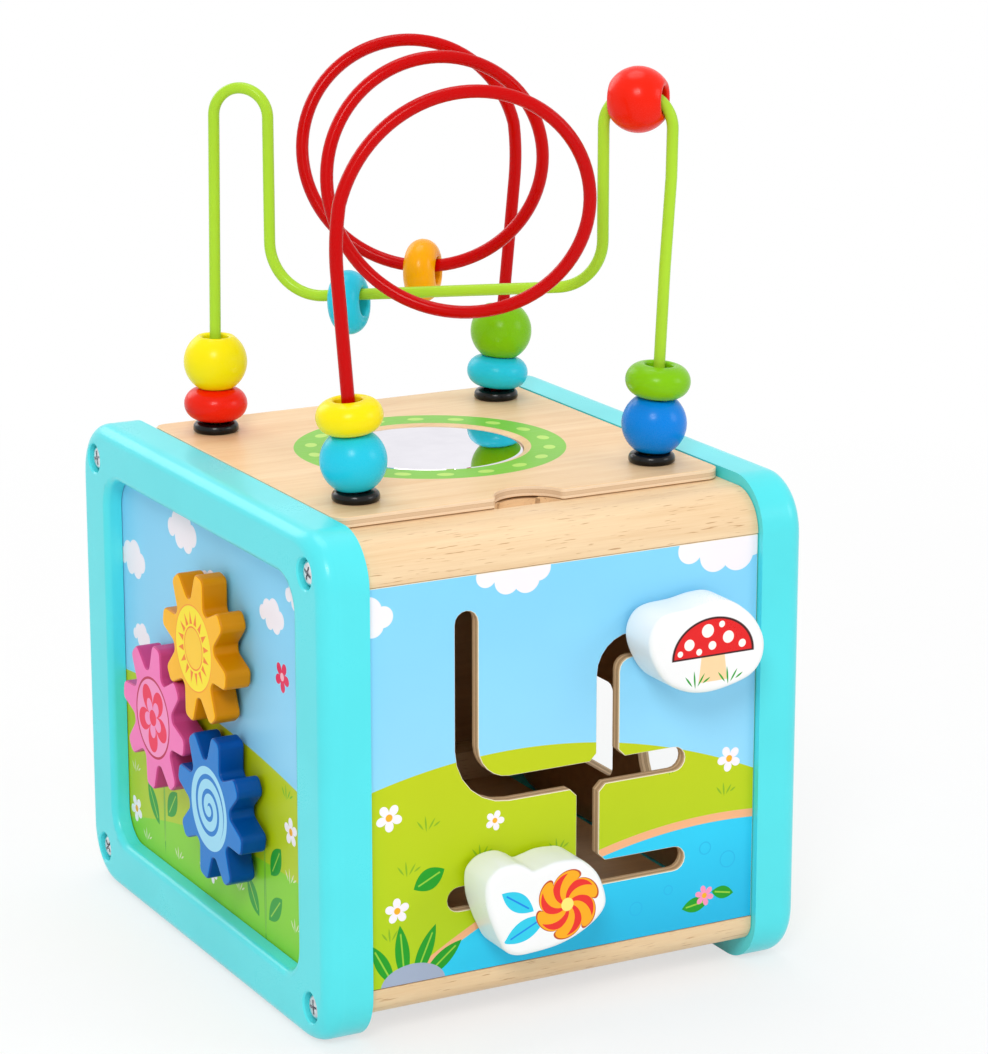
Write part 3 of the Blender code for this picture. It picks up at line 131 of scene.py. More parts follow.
class CubeColours(bpy.types.PropertyGroup):
    """Colours of the lacquers, enamels, woods and prints"""

    turquoise: paint("Turquoise", "Lacquer of the two side frames", (83, 226, 234))
    beech: paint("Beech", "Rails and stems", (243, 215, 175))
    beech_dark: paint("Beech Shade", "Darker growth bands of the beech", (222, 184, 138))
    beech_fleck: paint("Beech Fleck", "Short rays that show on the beech", (178, 126, 78))
    ply: paint("Ply", "Pale face veneer of the lid", (244, 213, 170))
    ply_dark: paint("Ply Shade", "Darker streaks of the face veneer", (226, 182, 128))
    ply_core: paint("Ply Core", "Cross plies seen on the edges", (158, 118, 80))
    # The inside ply is darker brown than the face veneer: partly the bare wood's own colour, partly painted
    # shade inside the box.
    inside: paint("Inside Ply", "Plain ply on the inside of the box", (205, 160, 112))
    sky: paint("Sky", "Printed sky", (132, 213, 250))
    hill: paint("Hill", "Printed hill", (192, 207, 6))
    meadow: paint("Meadow", "Printed lower meadow", (136, 212, 28))
    pond: paint("Pond", "Printed pond", (42, 206, 245))
    bank: paint("Bank", "Printed bank of the pond", (247, 180, 132))
    cloud: paint("Cloud", "Printed clouds and daisies", (250, 243, 250))
    heart: paint("Daisy Heart", "Printed hearts of the daisies", (246, 178, 32))
    leaf: paint("Leaf", "Printed leaves", (30, 158, 34))
    leaf_vein: paint("Leaf Vein", "Printed veins of the leaves", (150, 208, 60))
    red_wire: paint("Red Enamel", "Red wire", (200, 0, 0))
    lime_wire: paint("Lime Enamel", "Lime wire", (174, 219, 50))
    bead_red: paint("Red Bead", "Red beads and hand", (242, 30, 0))
    bead_yellow: paint("Yellow Bead", "Yellow beads", (252, 232, 4))
    bead_sky: paint("Light Blue Bead", "Light blue beads", (38, 204, 234))
    bead_green: paint("Green Bead", "Green beads", (130, 198, 4))
    bead_blue: paint("Blue Bead", "Blue bead and hand", (0, 132, 230))
    bead_orange: paint("Orange Bead", "Orange bead", (254, 172, 0))
    sun_gear: paint("Sun Gear", "Upper gear", (255, 188, 0))
    sun_disc: paint("Sun Disc", "Printed disc of the upper gear", (255, 232, 30))
    pink_gear: paint("Pink Gear", "Middle gear", (246, 122, 188))
    pink_print: paint("Pink Flower", "Printed flower of the middle gear", (240, 36, 82))
    blue_gear: paint("Blue Gear", "Lower gear", (0, 124, 208))
    blue_print: paint("Blue Disc", "Printed disc of the lower gear", (160, 222, 248))
    block: paint("Block White", "Sliding blocks", (246, 246, 246))
    ring: paint("Mirror Ring", "Printed ring round the mirror", (122, 198, 36))
    ring_dot: paint("Ring Dot", "Ovals on the printed ring", (186, 228, 96))


class CubeSizes(bpy.types.PropertyGroup):
    """Roundings and thicknesses that the finish of the pieces may vary"""

    frame_corner: length("Frame Corner", "Radius of a side frame's corners", 0.0200)
    frame_edge: length("Frame Edge", "Radius of a side frame's outer edge", 0.0065)
    window_corner: length("Window Corner", "Radius of the window's corners", 0.0130)
    window_edge: length("Window Edge", "Radius of the window's edge", 0.0028)
    panel_edge: length("Panel Edge", "Eased edge of the printed panels", 0.00035)
    block_edge: length("Block Edge", "Radius of the sliding blocks' edges", 0.0024)
    gear_edge: length("Gear Edge", "Radius of the gears' edges", 0.0010)
    red_wire: length("Red Wire Radius", "Radius of the red wire", 0.0025)
    lime_wire: length("Lime Wire Radius", "Radius of the lime wire", 0.0022)
    bead: length("Bead Radius", "Radius of every bead", 0.0124)
    bead_steps: IntProperty(name="Bead Steps", description="Steps round a bead", default=56, min=16, max=128)


# Modelling helpers, each one or a few of Blender's own tools.


def deselect():
    active = bpy.context.view_layer.objects.active
    if active is not None and active.mode != "OBJECT":
        bpy.ops.object.mode_set(mode="OBJECT")
    bpy.ops.object.select_all(action="DESELECT")


def pick(piece):
    deselect()
    piece.select_set(True)
    bpy.context.view_layer.objects.active = piece


@contextmanager
def editing(piece, kind="VERT", action="SELECT"):
    """Edit mode on one piece, with all of it selected or nothing."""
    pick(piece)
    bpy.ops.object.mode_set(mode="EDIT")
    bpy.ops.mesh.select_mode(type=kind)
    bpy.ops.mesh.select_all(action=action)
    yield bmesh.from_edit_mesh(piece.data)
    bpy.ops.object.mode_set(mode="OBJECT")


def choose(piece, items, wanted):
    """Selects just the edges or faces that pass the test."""
    for item in items:
        item.select_set(bool(wanted(item)))
    bmesh.update_edit_mesh(piece.data)


def put_in_mesh(piece):
    pick(piece)
    bpy.ops.object.transform_apply(location=True, rotation=True, scale=True)
    return piece


def made_mesh(piece):
    pick(piece)
    bpy.ops.object.convert(target="MESH")
    return bpy.context.object


def copied(piece):
    pick(piece)
    bpy.ops.object.duplicate(linked=False)
    return bpy.context.object


def block(low, high):
    """A block between two corners."""
    low, high = Vector(low), Vector(high)
    deselect()
    bpy.ops.mesh.primitive_cube_add(size=1, location=(low + high) / 2, scale=high - low)
    return put_in_mesh(bpy.context.object)


def drum(radius, low, high, sides, place):
    """A round block along local Z, then put in its place."""
    deselect()
    bpy.ops.mesh.primitive_cylinder_add(
        vertices=sides, radius=radius, depth=high - low, location=(0, 0, (low + high) / 2)
    )
    piece = put_in_mesh(bpy.context.object)
    piece.data.transform(place)
    return piece


def round_edges(piece, wanted, width, segments):
    """Bevels just the edges whose two ends pass the test."""
    with editing(piece, "EDGE", "DESELECT") as form:
        choose(piece, form.edges, lambda edge: all(wanted(vertex.co) for vertex in edge.verts))
        bpy.ops.mesh.bevel(offset=width, segments=segments, affect="EDGES", clamp_overlap=False)


def rounded_outline(x, sides, corner, steps):
    """The outline of a rounded rectangle that faces along X, from its low and high Y and Z."""
    low_y, low_z, high_y, high_z = sides
    deselect()
    bpy.ops.mesh.primitive_plane_add(
        size=1, location=(x, (low_y + high_y) / 2, (low_z + high_z) / 2), rotation=(0, math.pi / 2, 0)
    )
    piece = bpy.context.object
    piece.scale = (high_z - low_z, high_y - low_y, 1)
    put_in_mesh(piece)
    with editing(piece):
        bpy.ops.mesh.bevel(offset=corner, segments=steps, affect="VERTICES", clamp_overlap=False)
        bpy.ops.mesh.select_all(action="SELECT")
        bpy.ops.mesh.delete(type="ONLY_FACE")
    return piece


def grown(sides, room):
    return sides[0] - room, sides[1] - room, sides[2] + room, sides[3] + room


def inside_of(spot, sides, room):
    """Whether a point lies within a rectangle of Y and Z, grown by some room."""
    low_y, low_z, high_y, high_z = grown(sides, room)
    return low_y < spot.y < high_y and low_z < spot.z < high_z


def apply_modifier(piece, kind, **settings):
    pick(piece)
    bpy.ops.object.modifier_add(type=kind)
    modifier = piece.modifiers[-1]
    for key, value in settings.items():
        setattr(modifier, key, value)
    bpy.ops.object.modifier_apply(modifier=modifier.name)


def cut(piece, tool):
    """Cuts the tool's shape out of the piece, and throws the tool away."""
    apply_modifier(piece, "BOOLEAN", operation="DIFFERENCE", solver="EXACT", object=tool)
    bpy.data.objects.remove(tool, do_unlink=True)


def join(pieces):
    pick(pieces[0])
    for piece in pieces:
        piece.select_set(True)
    bpy.ops.object.join()
    return bpy.context.object


def even_shading(piece, angle, weighted=True):
    pick(piece)
    bpy.ops.object.shade_smooth_by_angle(angle=math.radians(angle), keep_sharp_edges=False)
    if weighted:
        apply_modifier(piece, "WEIGHTED_NORMAL", keep_sharp=True, weight=50)


def clean(piece, distance=0.000002):
    """Merges doubled points and turns every face outwards."""
    with editing(piece):
        bpy.ops.mesh.remove_doubles(threshold=distance)
        bpy.ops.mesh.normals_make_consistent(inside=False)


def turned(profile, steps, place=PLAIN):
    """A turned piece: a line of (radius, height) points, extruded point by point and spun about local Z."""
    deselect()
    bpy.ops.mesh.primitive_plane_add(size=0.001)
    piece = bpy.context.object
    with editing(piece):
        bpy.ops.mesh.merge(type="CENTER")
        bpy.ops.transform.translate(value=(profile[0][0], 0, profile[0][1]))
        for before, after in zip(profile, profile[1:]):
            step = (after[0] - before[0], 0, after[1] - before[1])
            bpy.ops.mesh.extrude_region_move(TRANSFORM_OT_translate={"value": step})
        bpy.ops.mesh.select_all(action="SELECT")
        bpy.ops.mesh.spin(steps=steps, angle=math.tau, center=(0, 0, 0), axis=(0, 0, 1))
    clean(piece)
    piece.data.transform(place)
    return piece


def drawn_line(splines, closed):
    """A curve object through the given lines of points."""
    deselect()
    bpy.ops.curve.primitive_bezier_circle_add(radius=0.01, location=(0, 0, 0))
    piece = bpy.context.object
    piece.data.splines.clear()
    for points in splines:
        spline = piece.data.splines.new("POLY")
        spline.points.add(len(points) - 1)
        for point, spot in zip(spline.points, points):
            point.co = (*Vector(spot).to_3d(), 1.0)
        spline.use_cyclic_u = closed
    return piece


def plate(outlines, thickness, place, edge=0.0, edge_steps=0):
    """A plate, with rounded rims if asked, from its outline and those of its holes, its middle on local Z 0."""
    piece = drawn_line(outlines, True)
    line = piece.data
    line.dimensions = "2D"
    line.fill_mode = "BOTH"
    line.extrude = thickness / 2 - edge
    line.bevel_depth = edge
    line.bevel_resolution = edge_steps
    line.offset = -edge
    piece = made_mesh(piece)
    clean(piece, 0.00001)
    piece.data.transform(place)
    return piece


def bent_wire(points, radius):
    """A wire of one thickness along a line of points, closed at both ends."""
    piece = drawn_line([points], False)
    line = piece.data
    line.dimensions = "3D"
    line.bevel_depth = radius
    line.bevel_resolution = 4
    line.use_fill_caps = True
    piece = made_mesh(piece)
    clean(piece)
    even_shading(piece, 50, False)
    return piece


def copy_of_node(node):
    """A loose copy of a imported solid, merged into one clean skin."""
    piece = copied(frame["nodes"][node])
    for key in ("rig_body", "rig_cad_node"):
        if key in piece:
            del piece[key]
    bpy.ops.object.parent_clear(type="CLEAR_KEEP_TRANSFORM")
    clean(piece)
    with editing(piece):
        bpy.ops.mesh.dissolve_limited(angle_limit=math.radians(1))
    return piece


def bevel_corners(piece, width, segments, **settings):
    apply_modifier(
        piece, "BEVEL", width=width, segments=segments, limit_method="ANGLE", angle_limit=math.radians(50),
        **settings,
    )


def settle(piece, name, body, finish, slot, *nodes):
    """Names a finished piece, gives it its material, and lets it ride on its body in place of its nodes."""
    piece.name = name
    piece.data.name = name
    piece.data.materials.clear()
    piece.data.materials.append(finish)
    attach(piece, body)
    if nodes:
        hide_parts(*nodes)


def dress(node, finish):
    """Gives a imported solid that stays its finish."""
    for slot in frame["nodes"][node].material_slots:
        slot.link = "OBJECT"
        slot.material = finish


def arc(centre, radius, start, end, steps):
    """Points round a centre, from one angle in degrees to another."""
    angles = [math.radians(start + (end - start) * step / steps) for step in range(steps + 1)]
    return [(centre[0] + radius * math.cos(angle), centre[1] + radius * math.sin(angle)) for angle in angles]


def eased(corners, radii, steps, closed=False):
    """A line whose corners are rounded with the given radii."""
    count = len(corners)
    points = []
    for index, corner in enumerate(corners):
        radius = radii[index % len(radii)]
        if not closed and index in (0, count - 1) or radius == 0:
            points.append(tuple(corner))
            continue
        here = Vector(corner)
        back = (Vector(corners[index - 1]) - here).normalized()
        ahead = (Vector(corners[(index + 1) % count]) - here).normalized()
        half = back.angle(ahead) / 2
        middle = here + (back + ahead).normalized() * radius / math.sin(half)
        first = here + back * radius / math.tan(half)
        last = here + ahead * radius / math.tan(half)
        for step in range(steps + 1):
            spoke = (first - middle).slerp(last - middle, step / steps)
            points.append(tuple(middle + spoke.normalized() * radius))
    return points


def flowing(points, steps):
    """A closed Catmull-Rom line through the points."""
    result = []
    count = len(points)
    for index in range(count):
        p0, p1, p2, p3 = (Vector(points[(index + shift) % count]) for shift in (-1, 0, 1, 2))
        for step in range(steps):
            t = step / steps
            result.append(tuple(0.5 * (
                2 * p1 + (p2 - p0) * t + (2 * p0 - 5 * p1 + 4 * p2 - p3) * t * t
                + (3 * p1 - p0 - 3 * p2 + p3) * t * t * t
            )))
    return result


# Shader helpers. Their values know their own tree, so that a shader reads as a sum.


class Value:
    """A number, point or colour in a shader tree. Arithmetic on it adds the nodes that work it out."""

    def __init__(self, socket):
        self.socket = socket

    def __add__(self, other):
        return maths("ADD", self, other)

    def __sub__(self, other):
        return maths("SUBTRACT", self, other)

    def __rsub__(self, other):
        return maths("SUBTRACT", other, self)

    def __mul__(self, other):
        return maths("MULTIPLY", self, other)

    def __truediv__(self, other):
        return maths("DIVIDE", self, other)

    def __pow__(self, other):
        return maths("POWER", self, other)

    def __gt__(self, other):
        return maths("GREATER_THAN", self, other)

    def __abs__(self):
        return maths("ABSOLUTE", self)

    __radd__ = __add__
    __rmul__ = __mul__


def feed(socket, value):
    if isinstance(value, Value):
        socket.id_data.links.new(value.socket, socket)
    elif socket.type == "RGBA" and len(value) == 3:
        socket.default_value = (*value, 1.0)
    else:
        socket.default_value = value


def add_node(tree, kind, inputs, output=0, **settings):
    """Adds a node, sets and feeds it, and gives one of its outputs."""
    node = tree.nodes.new("ShaderNode" + kind)
    for key, setting in settings.items():
        setattr(node, key, setting)
    for key, value in inputs.items():
        feed(node.inputs[key], value)
    return Value(node.outputs[output])


def first_value(values):
    return next(value for value in values if isinstance(value, Value))


def tree_of(*values):
    return first_value(values).socket.id_data


def maths(operation, *values):
    kind = "VectorMath" if first_value(values).socket.type == "VECTOR" else "Math"
    answer = "Value" if operation in ("LENGTH", "DISTANCE", "DOT_PRODUCT") else 0
    return add_node(tree_of(*values), kind, dict(enumerate(values)), answer, operation=operation)


def clamped(value):
    """Keeps the last sum between 0 and 1."""
    value.socket.node.use_clamp = True
    return value


def length_of(vector):
    return maths("LENGTH", vector)


def distance(one, other):
    return maths("DISTANCE", one, other)


def fraction(value):
    return maths("FRACT", value)


def mapped(vector, turn=(0, 0, 0), size=(1, 1, 1)):
    return add_node(tree_of(vector), "Mapping", {"Vector": vector, "Rotation": turn, "Scale": size})


def noise(vector, scale, detail=2.0):
    return add_node(tree_of(vector), "TexNoise", {"Vector": vector, "Scale": scale, "Detail": detail})


def grain_noise(point, along, across, detail):
    """Noise drawn out along X."""
    return noise(mapped(point, size=(along, across, across)), 1.0, detail)


def ranged(value, low, high, new_low=0.0, new_high=1.0):
    return add_node(tree_of(value), "MapRange", {
        "Value": value, "From Min": low, "From Max": high, "To Min": new_low, "To Max": new_high,
    })


def mixed(mask, under, over, blend="MIX"):
    return add_node(
        tree_of(mask, under, over), "Mix", {0: mask, 6: under, 7: over}, 2, data_type="RGBA", blend_type=blend
    )


def blended(share, one, other):
    """A plain colour between two others."""
    return tuple(part + (goal - part) * share for part, goal in zip(one, other))


def parts_of(vector):
    node = tree_of(vector).nodes.new("ShaderNodeSeparateXYZ")
    feed(node.inputs[0], vector)
    return [Value(socket) for socket in node.outputs]


def together(x, y, z=0.0):
    return add_node(tree_of(x, y), "CombineXYZ", {0: x, 1: y, 2: z})


def angle_of(x, y):
    return maths("ARCTAN2", y, x)


def inside(far, edge, soft=0.12):
    """1 where the distance is under the edge, and 0 past it."""
    return clamped((edge - far) / soft)


def any_of(*masks):
    found = masks[0]
    for mask in masks[1:]:
        found = maths("MAXIMUM", found, mask)
    return found


WHITE, BLACK = (1, 1, 1), (0, 0, 0)
NUMBER, SPOT, TONE = 0.0, (0.0, 0.0, 0.0), (0.5, 0.5, 0.5, 1.0)


def socket_kind(example):
    if isinstance(example, float):
        return "NodeSocketFloat"
    return "NodeSocketVector" if len(example) == 3 else "NodeSocketColor"


def shader_group(outputs, **inputs):
    """Makes the function into a shader group, built when it is first placed in a tree with its own values."""

    def wrapped(make):
        def build():
            tree = bpy.data.node_groups.new(make.__name__, "ShaderNodeTree")
            for label, default in inputs.items():
                socket = tree.interface.new_socket(
                    label.title(), in_out="INPUT", socket_type=socket_kind(default)
                )
                socket.default_value = default
            for label, example in outputs.items():
                tree.interface.new_socket(label.title(), in_out="OUTPUT", socket_type=socket_kind(example))
            given = tree.nodes.new("NodeGroupInput").outputs
            answers = make(*(Value(given[label.title()]) for label in inputs))
            results = tree.nodes.new("NodeGroupOutput").inputs
            for label, answer in zip(outputs, answers):
                feed(results[label.title()], answer)
            return tree

        def placed(**values):
            group = bpy.data.node_groups.get(make.__name__) or build()
            node = tree_of(*values.values()).nodes.new("ShaderNodeGroup")
            node.node_tree = group
            for label, value in values.items():
                feed(node.inputs[label.title()], value)
            answers = [Value(node.outputs[label.title()]) for label in outputs]
            return answers if len(answers) > 1 else answers[0]

        return placed

    return wrapped


@shader_group({"place": SPOT}, point=SPOT, centre=SPOT, across=RIGHTWARD, up=UPWARD)
def panel_place(point, centre, across, up):
    """A point's place on a flat face in millimetres, from its middle."""
    off = point - centre
    return [together(maths("DOT_PRODUCT", off, across) * 1000.0, maths("DOT_PRODUCT", off, up) * 1000.0)]


@shader_group({"petals": NUMBER, "heart": NUMBER}, place=SPOT, centre=SPOT, size=6.0, petals=6.0, turn=0.0)
def daisy(place, centre, size, petals, turn):
    off = place - centre
    far = length_of(off)
    x, y, _ = parts_of(off)
    wave = abs(maths("COSINE", (angle_of(x, y) + turn) * (petals * 0.5)))
    reach = wave ** 0.6 * 0.66 + 0.34
    return inside(far, reach * size), inside(far, size * 0.27)


@shader_group({"mask": NUMBER}, place=SPOT, centre=SPOT, size=10.0)
def cloud_puffs(place, centre, size):
    off = place - centre
    return [any_of(*(
        inside(distance(off, together(size * x, size * y)), size * radius, 0.2)
        for x, y, radius in (
            (-1.15, -0.05, 0.42), (-0.55, 0.22, 0.60), (0.25, 0.30, 0.72), (1.0, 0.02, 0.50),
            (-0.30, -0.30, 0.52), (0.50, -0.32, 0.55),
        )
    ))]


@shader_group({"mask": NUMBER, "vein": NUMBER}, place=SPOT, centre=SPOT, long=8.0, wide=3.0, turn=0.0)
def leaf_shape(place, centre, long, wide, turn):
    """A pointed leaf along its turned X, and the line of its vein."""
    x, y, _ = parts_of(place - centre)
    cos, sin = maths("COSINE", turn), maths("SINE", turn)
    aside = abs(y * cos - x * sin)
    share = (x * cos + y * sin) / long
    mask = inside(aside, wide * (1.0 - share * share))
    return mask, inside(aside, 0.38) * inside(abs(share), 0.72, 0.05)


@shader_group({"mask": NUMBER}, place=SPOT, centre=SPOT, size=4.0)
def grass_tuft(place, centre, size):
    blades = [
        leaf_shape(
            place=place, centre=centre + together(size * shift, size * (reach * 0.4)), turn=turn, wide=0.42,
            long=size * reach,
        )[0]
        for shift, turn, reach in ((-0.55, 2.2, 0.55), (-0.05, 1.65, 0.75), (0.5, 1.0, 0.6), (0.95, 0.55, 0.4))
    ]
    return [any_of(*blades)]


@shader_group(
    {"colour": TONE, "roughness": NUMBER, "height": NUMBER}, point=SPOT, colour=TONE, roughness=0.3, drift=0.06,
    grain=0.25,
)
def lacquer(point, colour, roughness, drift, grain):
    """Sprayed paint over wood: slow drifts of shade, and the fine waves of its skin."""
    slow = noise(point, 26.0)
    skin = noise(point, 620.0)
    speck = noise(point, 2600.0, 1.0)
    fibre = grain_noise(point, 60, 900, 2.0)
    shade = 1.0 - ranged(slow, 0.35, 0.7) * drift
    rough = clamped(roughness + (slow - 0.5) * 0.12 + (speck - 0.5) * 0.08)
    return mixed(1.0, colour, together(shade, shade, shade), "MULTIPLY"), rough, skin + fibre * grain


@shader_group(
    {"colour": TONE, "roughness": NUMBER, "height": NUMBER}, point=SPOT, light=TONE, dark=TONE, fleck=TONE,
    flecks=0.6,
)
def wood_grain(point, light, dark, fleck, flecks):
    """Wood whose grain runs along X: growth bands, fine fibres, and short dark rays."""
    waves = grain_noise(point, 9, 130, 3.0)
    bands = grain_noise(point, 14, 420, 3.0)
    fibres = grain_noise(point, 70, 2200, 2.0)
    rays = grain_noise(point, 115, 1900, 1.0)
    tone = clamped(ranged(waves, 0.3, 0.7) * 0.45 + ranged(bands, 0.3, 0.75) * 0.35 + (fibres - 0.5) * 0.5)
    ray = ranged(rays, 0.66, 0.74) * flecks
    colour = mixed(ray, mixed(tone, light, dark), fleck)
    return colour, ranged(fibres, 0.2, 0.8, 0.34, 0.52), fibres - ray * 0.8


@shader_group({"colour": TONE}, point=SPOT, depth=0.0, ply=1.2, light=TONE, dark=TONE)
def ply_layers(point, depth, ply, light, dark):
    """The edge of plywood by depth under its face, in millimetres: long plies, cross plies and glue lines."""
    level = (depth + (noise(point, 90.0) - 0.5) * 0.18) / ply
    share = fraction(level)
    cross_ply = fraction(level * 0.5) > 0.5
    pores = noise(point, 2400.0)
    glue = any_of(inside(share, 0.10, 0.05), inside(1.0 - share, 0.06, 0.05))
    return [mixed(clamped(cross_ply * 0.42 + pores * 0.3 + glue * 0.45), light, dark)]


def new_finish(name):
    """A material with its shader, its object coordinates and its normal."""
    material = bpy.data.materials.new(name)
    material.use_nodes = True
    tree = material.node_tree
    sources = tree.nodes.new("ShaderNodeTexCoord").outputs
    return material, tree.nodes["Principled BSDF"], Value(sources["Object"]), Value(sources["Normal"])


def finish_with(
    shader, colour, roughness, height=None, bump=0.00002, coat=0.0, coat_roughness=0.1, gloss=0.25, metallic=0.0
):
    feed(shader.inputs["Base Color"], colour)
    feed(shader.inputs["Roughness"], roughness)
    shader.inputs["Metallic"].default_value = metallic
    shader.inputs["Specular IOR Level"].default_value = gloss
    shader.inputs["Coat Weight"].default_value = coat
    shader.inputs["Coat Roughness"].default_value = coat_roughness
    if height is not None:
        relief = {"Strength": 1.0, "Distance": bump, "Height": height}
        feed(shader.inputs["Normal"], add_node(shader.id_data, "Bump", relief))


def lacquered(name, colour, roughness, drift, grain, bump, coat, gloss=0.25, over=None):
    """A painted finish. over may print on the paint: it is given the point, the normal and the plain colour."""
    material, shader, point, normal = new_finish(name)
    plain = over(point, normal, colour) if over else colour
    skin = lacquer(point=point, colour=plain, roughness=roughness, drift=drift, grain=grain)
    finish_with(shader, *skin, bump=bump, coat=coat, gloss=gloss)
    return material


def bare_wood(name, light, dark, fleck, flecks, turn=(0, 0, 0), bump=0.00003, coat=0.08):
    material, shader, point, _ = new_finish(name)
    grain = wood_grain(point=mapped(point, turn=turn), light=light, dark=dark, fleck=fleck, flecks=flecks)
    finish_with(shader, *grain, bump=bump, coat=coat, coat_roughness=0.3)
    return material


def screw_metal():
    """Zinc plated steel with fine turning marks and a little tarnish, made once."""
    if "plated steel" in bpy.data.materials:
        return bpy.data.materials["plated steel"]
    material, shader, point, _ = new_finish("plated steel")
    haze = noise(point, 420.0, 3.0)
    marks = noise(point, 3200.0)
    bright, tarnished = srgb(232, 233, 236), srgb(190, 191, 195)
    rough = ranged(haze, 0.3, 0.8, 0.2, 0.38) + marks * 0.1
    finish_with(
        shader, mixed(ranged(haze, 0.35, 0.75), bright, tarnished), rough, marks, bump=0.00001, metallic=1.0
    )
    return material


# Printed faces, drawn layer over layer, in millimetres from their middle.


class Sheet:
    """A printed face: what is laid on it covers what was there."""

    def __init__(self, place, colours, tone):
        self.place, self.colours, self.tone = place, colours, tone
        self.x, self.y, _ = parts_of(place)

    def lay(self, mask, tone):
        self.tone = mixed(mask, self.tone, tone)

    def sky(self):
        pale = blended(0.12, self.colours.sky, WHITE)
        self.tone = mixed(ranged(self.y, 60.0, 175.0), pale, self.colours.sky)

    def over_bow(self, top, middle, bend):
        """How far a point lies over a line that bends down on both sides of its top."""
        off = self.x - middle
        return self.y - (top - off * off * bend)

    def hill(self, top, middle, bend):
        colours = self.colours
        tone = mixed(ranged(self.y, 100.0, 25.0), colours.hill, blended(0.3, colours.hill, colours.meadow))
        self.lay(inside(self.over_bow(top, middle, bend), 0.0), tone)

    def clouds(self, *clouds):
        for x, y, size in clouds:
            self.lay(cloud_puffs(place=self.place, centre=(x, y, 0), size=size), self.colours.cloud)

    def daisies(self, *daisies, petals=5, petal=None, heart=None):
        for x, y, size, turn in daisies:
            masks = daisy(place=self.place, centre=(x, y, 0), size=size, petals=petals, turn=turn)
            self.lay(masks[0], petal or self.colours.cloud)
            self.lay(masks[1], heart or self.colours.heart)

    def leaves(self, *leaves, green=None, vein=None):
        for x, y, long, wide, turn in leaves:
            mask, line = leaf_shape(
                place=self.place, centre=(x, y, 0), long=long, wide=wide, turn=math.radians(turn)
            )
            self.lay(mask, green or self.colours.leaf)
            self.lay(mask * line, vein or self.colours.leaf_vein)

    def tufts(self, green, *tufts):
        for x, y, size in tufts:
            self.lay(grass_tuft(place=self.place, centre=(x, y, 0), size=size), green)

    def rings(self, tone, *rings):
        for x, y, radius, half in rings:
            self.lay(inside(abs(distance(self.place, (x, y, 0)) - radius), half), tone)

    def disc(self, x, y, radius, tone):
        self.lay(inside(distance(self.place, (x, y, 0)), radius), tone)

    def straight_sided(self, x, y, reach, turns, tone, mirrored=True):
        """A form bounded by straight sides that face the given ways, and by those opposite if mirrored."""
        off = self.place - (x, y, 0)
        ways = [(math.cos(math.radians(turn)), math.sin(math.radians(turn)), 0) for turn in turns]
        sides = [maths("DOT_PRODUCT", off, way) for way in ways]
        self.lay(inside(any_of(*(abs(side) if mirrored else side for side in sides)), reach), tone)


def beside_spoke(x, y, count, share):
    """How far a point is from the nearest of many spokes, where share tells how far round they start."""
    step = math.tau / count
    return abs(fraction((angle_of(x, y) + math.pi) / step + share) - 0.5) * step * length_of(together(x, y))


def pond_print(sheet, colours):
    """The front panel: clouds over a hill, a pond with a sandy bank, daisies and leaves."""
    deep_water, ripple_water, stone, lily = (
        srgb(10, 150, 205), srgb(20, 160, 220), srgb(164, 176, 200), srgb(250, 150, 190)
    )
    sheet.sky()
    sheet.clouds((-83, 161, 8.2), (-22, 171, 10), (66, 170, 12.5))
    sheet.hill(104.0, -22.0, 0.0022)
    sheet.tufts(
        blended(0.55, colours.hill, colours.leaf),
        (-58, 80, 4.5), (-66, 64, 4.5), (-73, 40, 4), (44, 85, 4.5), (68, 73, 4), (-4, 63, 4), (-36, 66, 4),
    )
    over_pond = sheet.over_bow(62.0, 64.0, 0.0024)
    sheet.lay(inside(over_pond, 3.2), colours.bank)
    water = mixed(ranged(over_pond, -4.0, -40.0), colours.pond, blended(0.45, colours.pond, deep_water))
    sheet.lay(inside(over_pond, 0.0), water)
    sheet.rings(
        blended(0.5, colours.pond, ripple_water),
        (60, 52, 2.4, 0.3), (70, 46, 3.2, 0.3), (30, 33, 2.6, 0.3), (8, 31, 2.2, 0.3), (44, 38, 1.8, 0.3),
    )
    sheet.leaves((56, 30, 6, 3, 8), (68, 33, 5, 2.6, -12))
    sheet.daisies((60, 33, 4.2, 0.3), petals=6, petal=lily)
    sheet.leaves(
        (-57, 60, 7.0, 4.2, 25), (-76, 30, 9.5, 2.8, 118), (-68, 33, 11.5, 3.0, 95), (-59, 32, 11.5, 3.0, 66),
        (-52, 28, 10.5, 3.0, 38),
    )
    sheet.lay(inside(distance(mapped(sheet.place, size=(0.62, 1, 1)), (-39.5, 20.5, 0)), 8.2), stone)
    sheet.daisies((-73, 86, 5.4, 0.3), (-70, 50, 5.0, 0.9), (70, 86, 5.2, 0.5), (-30, 78, 4.0, 0.1))


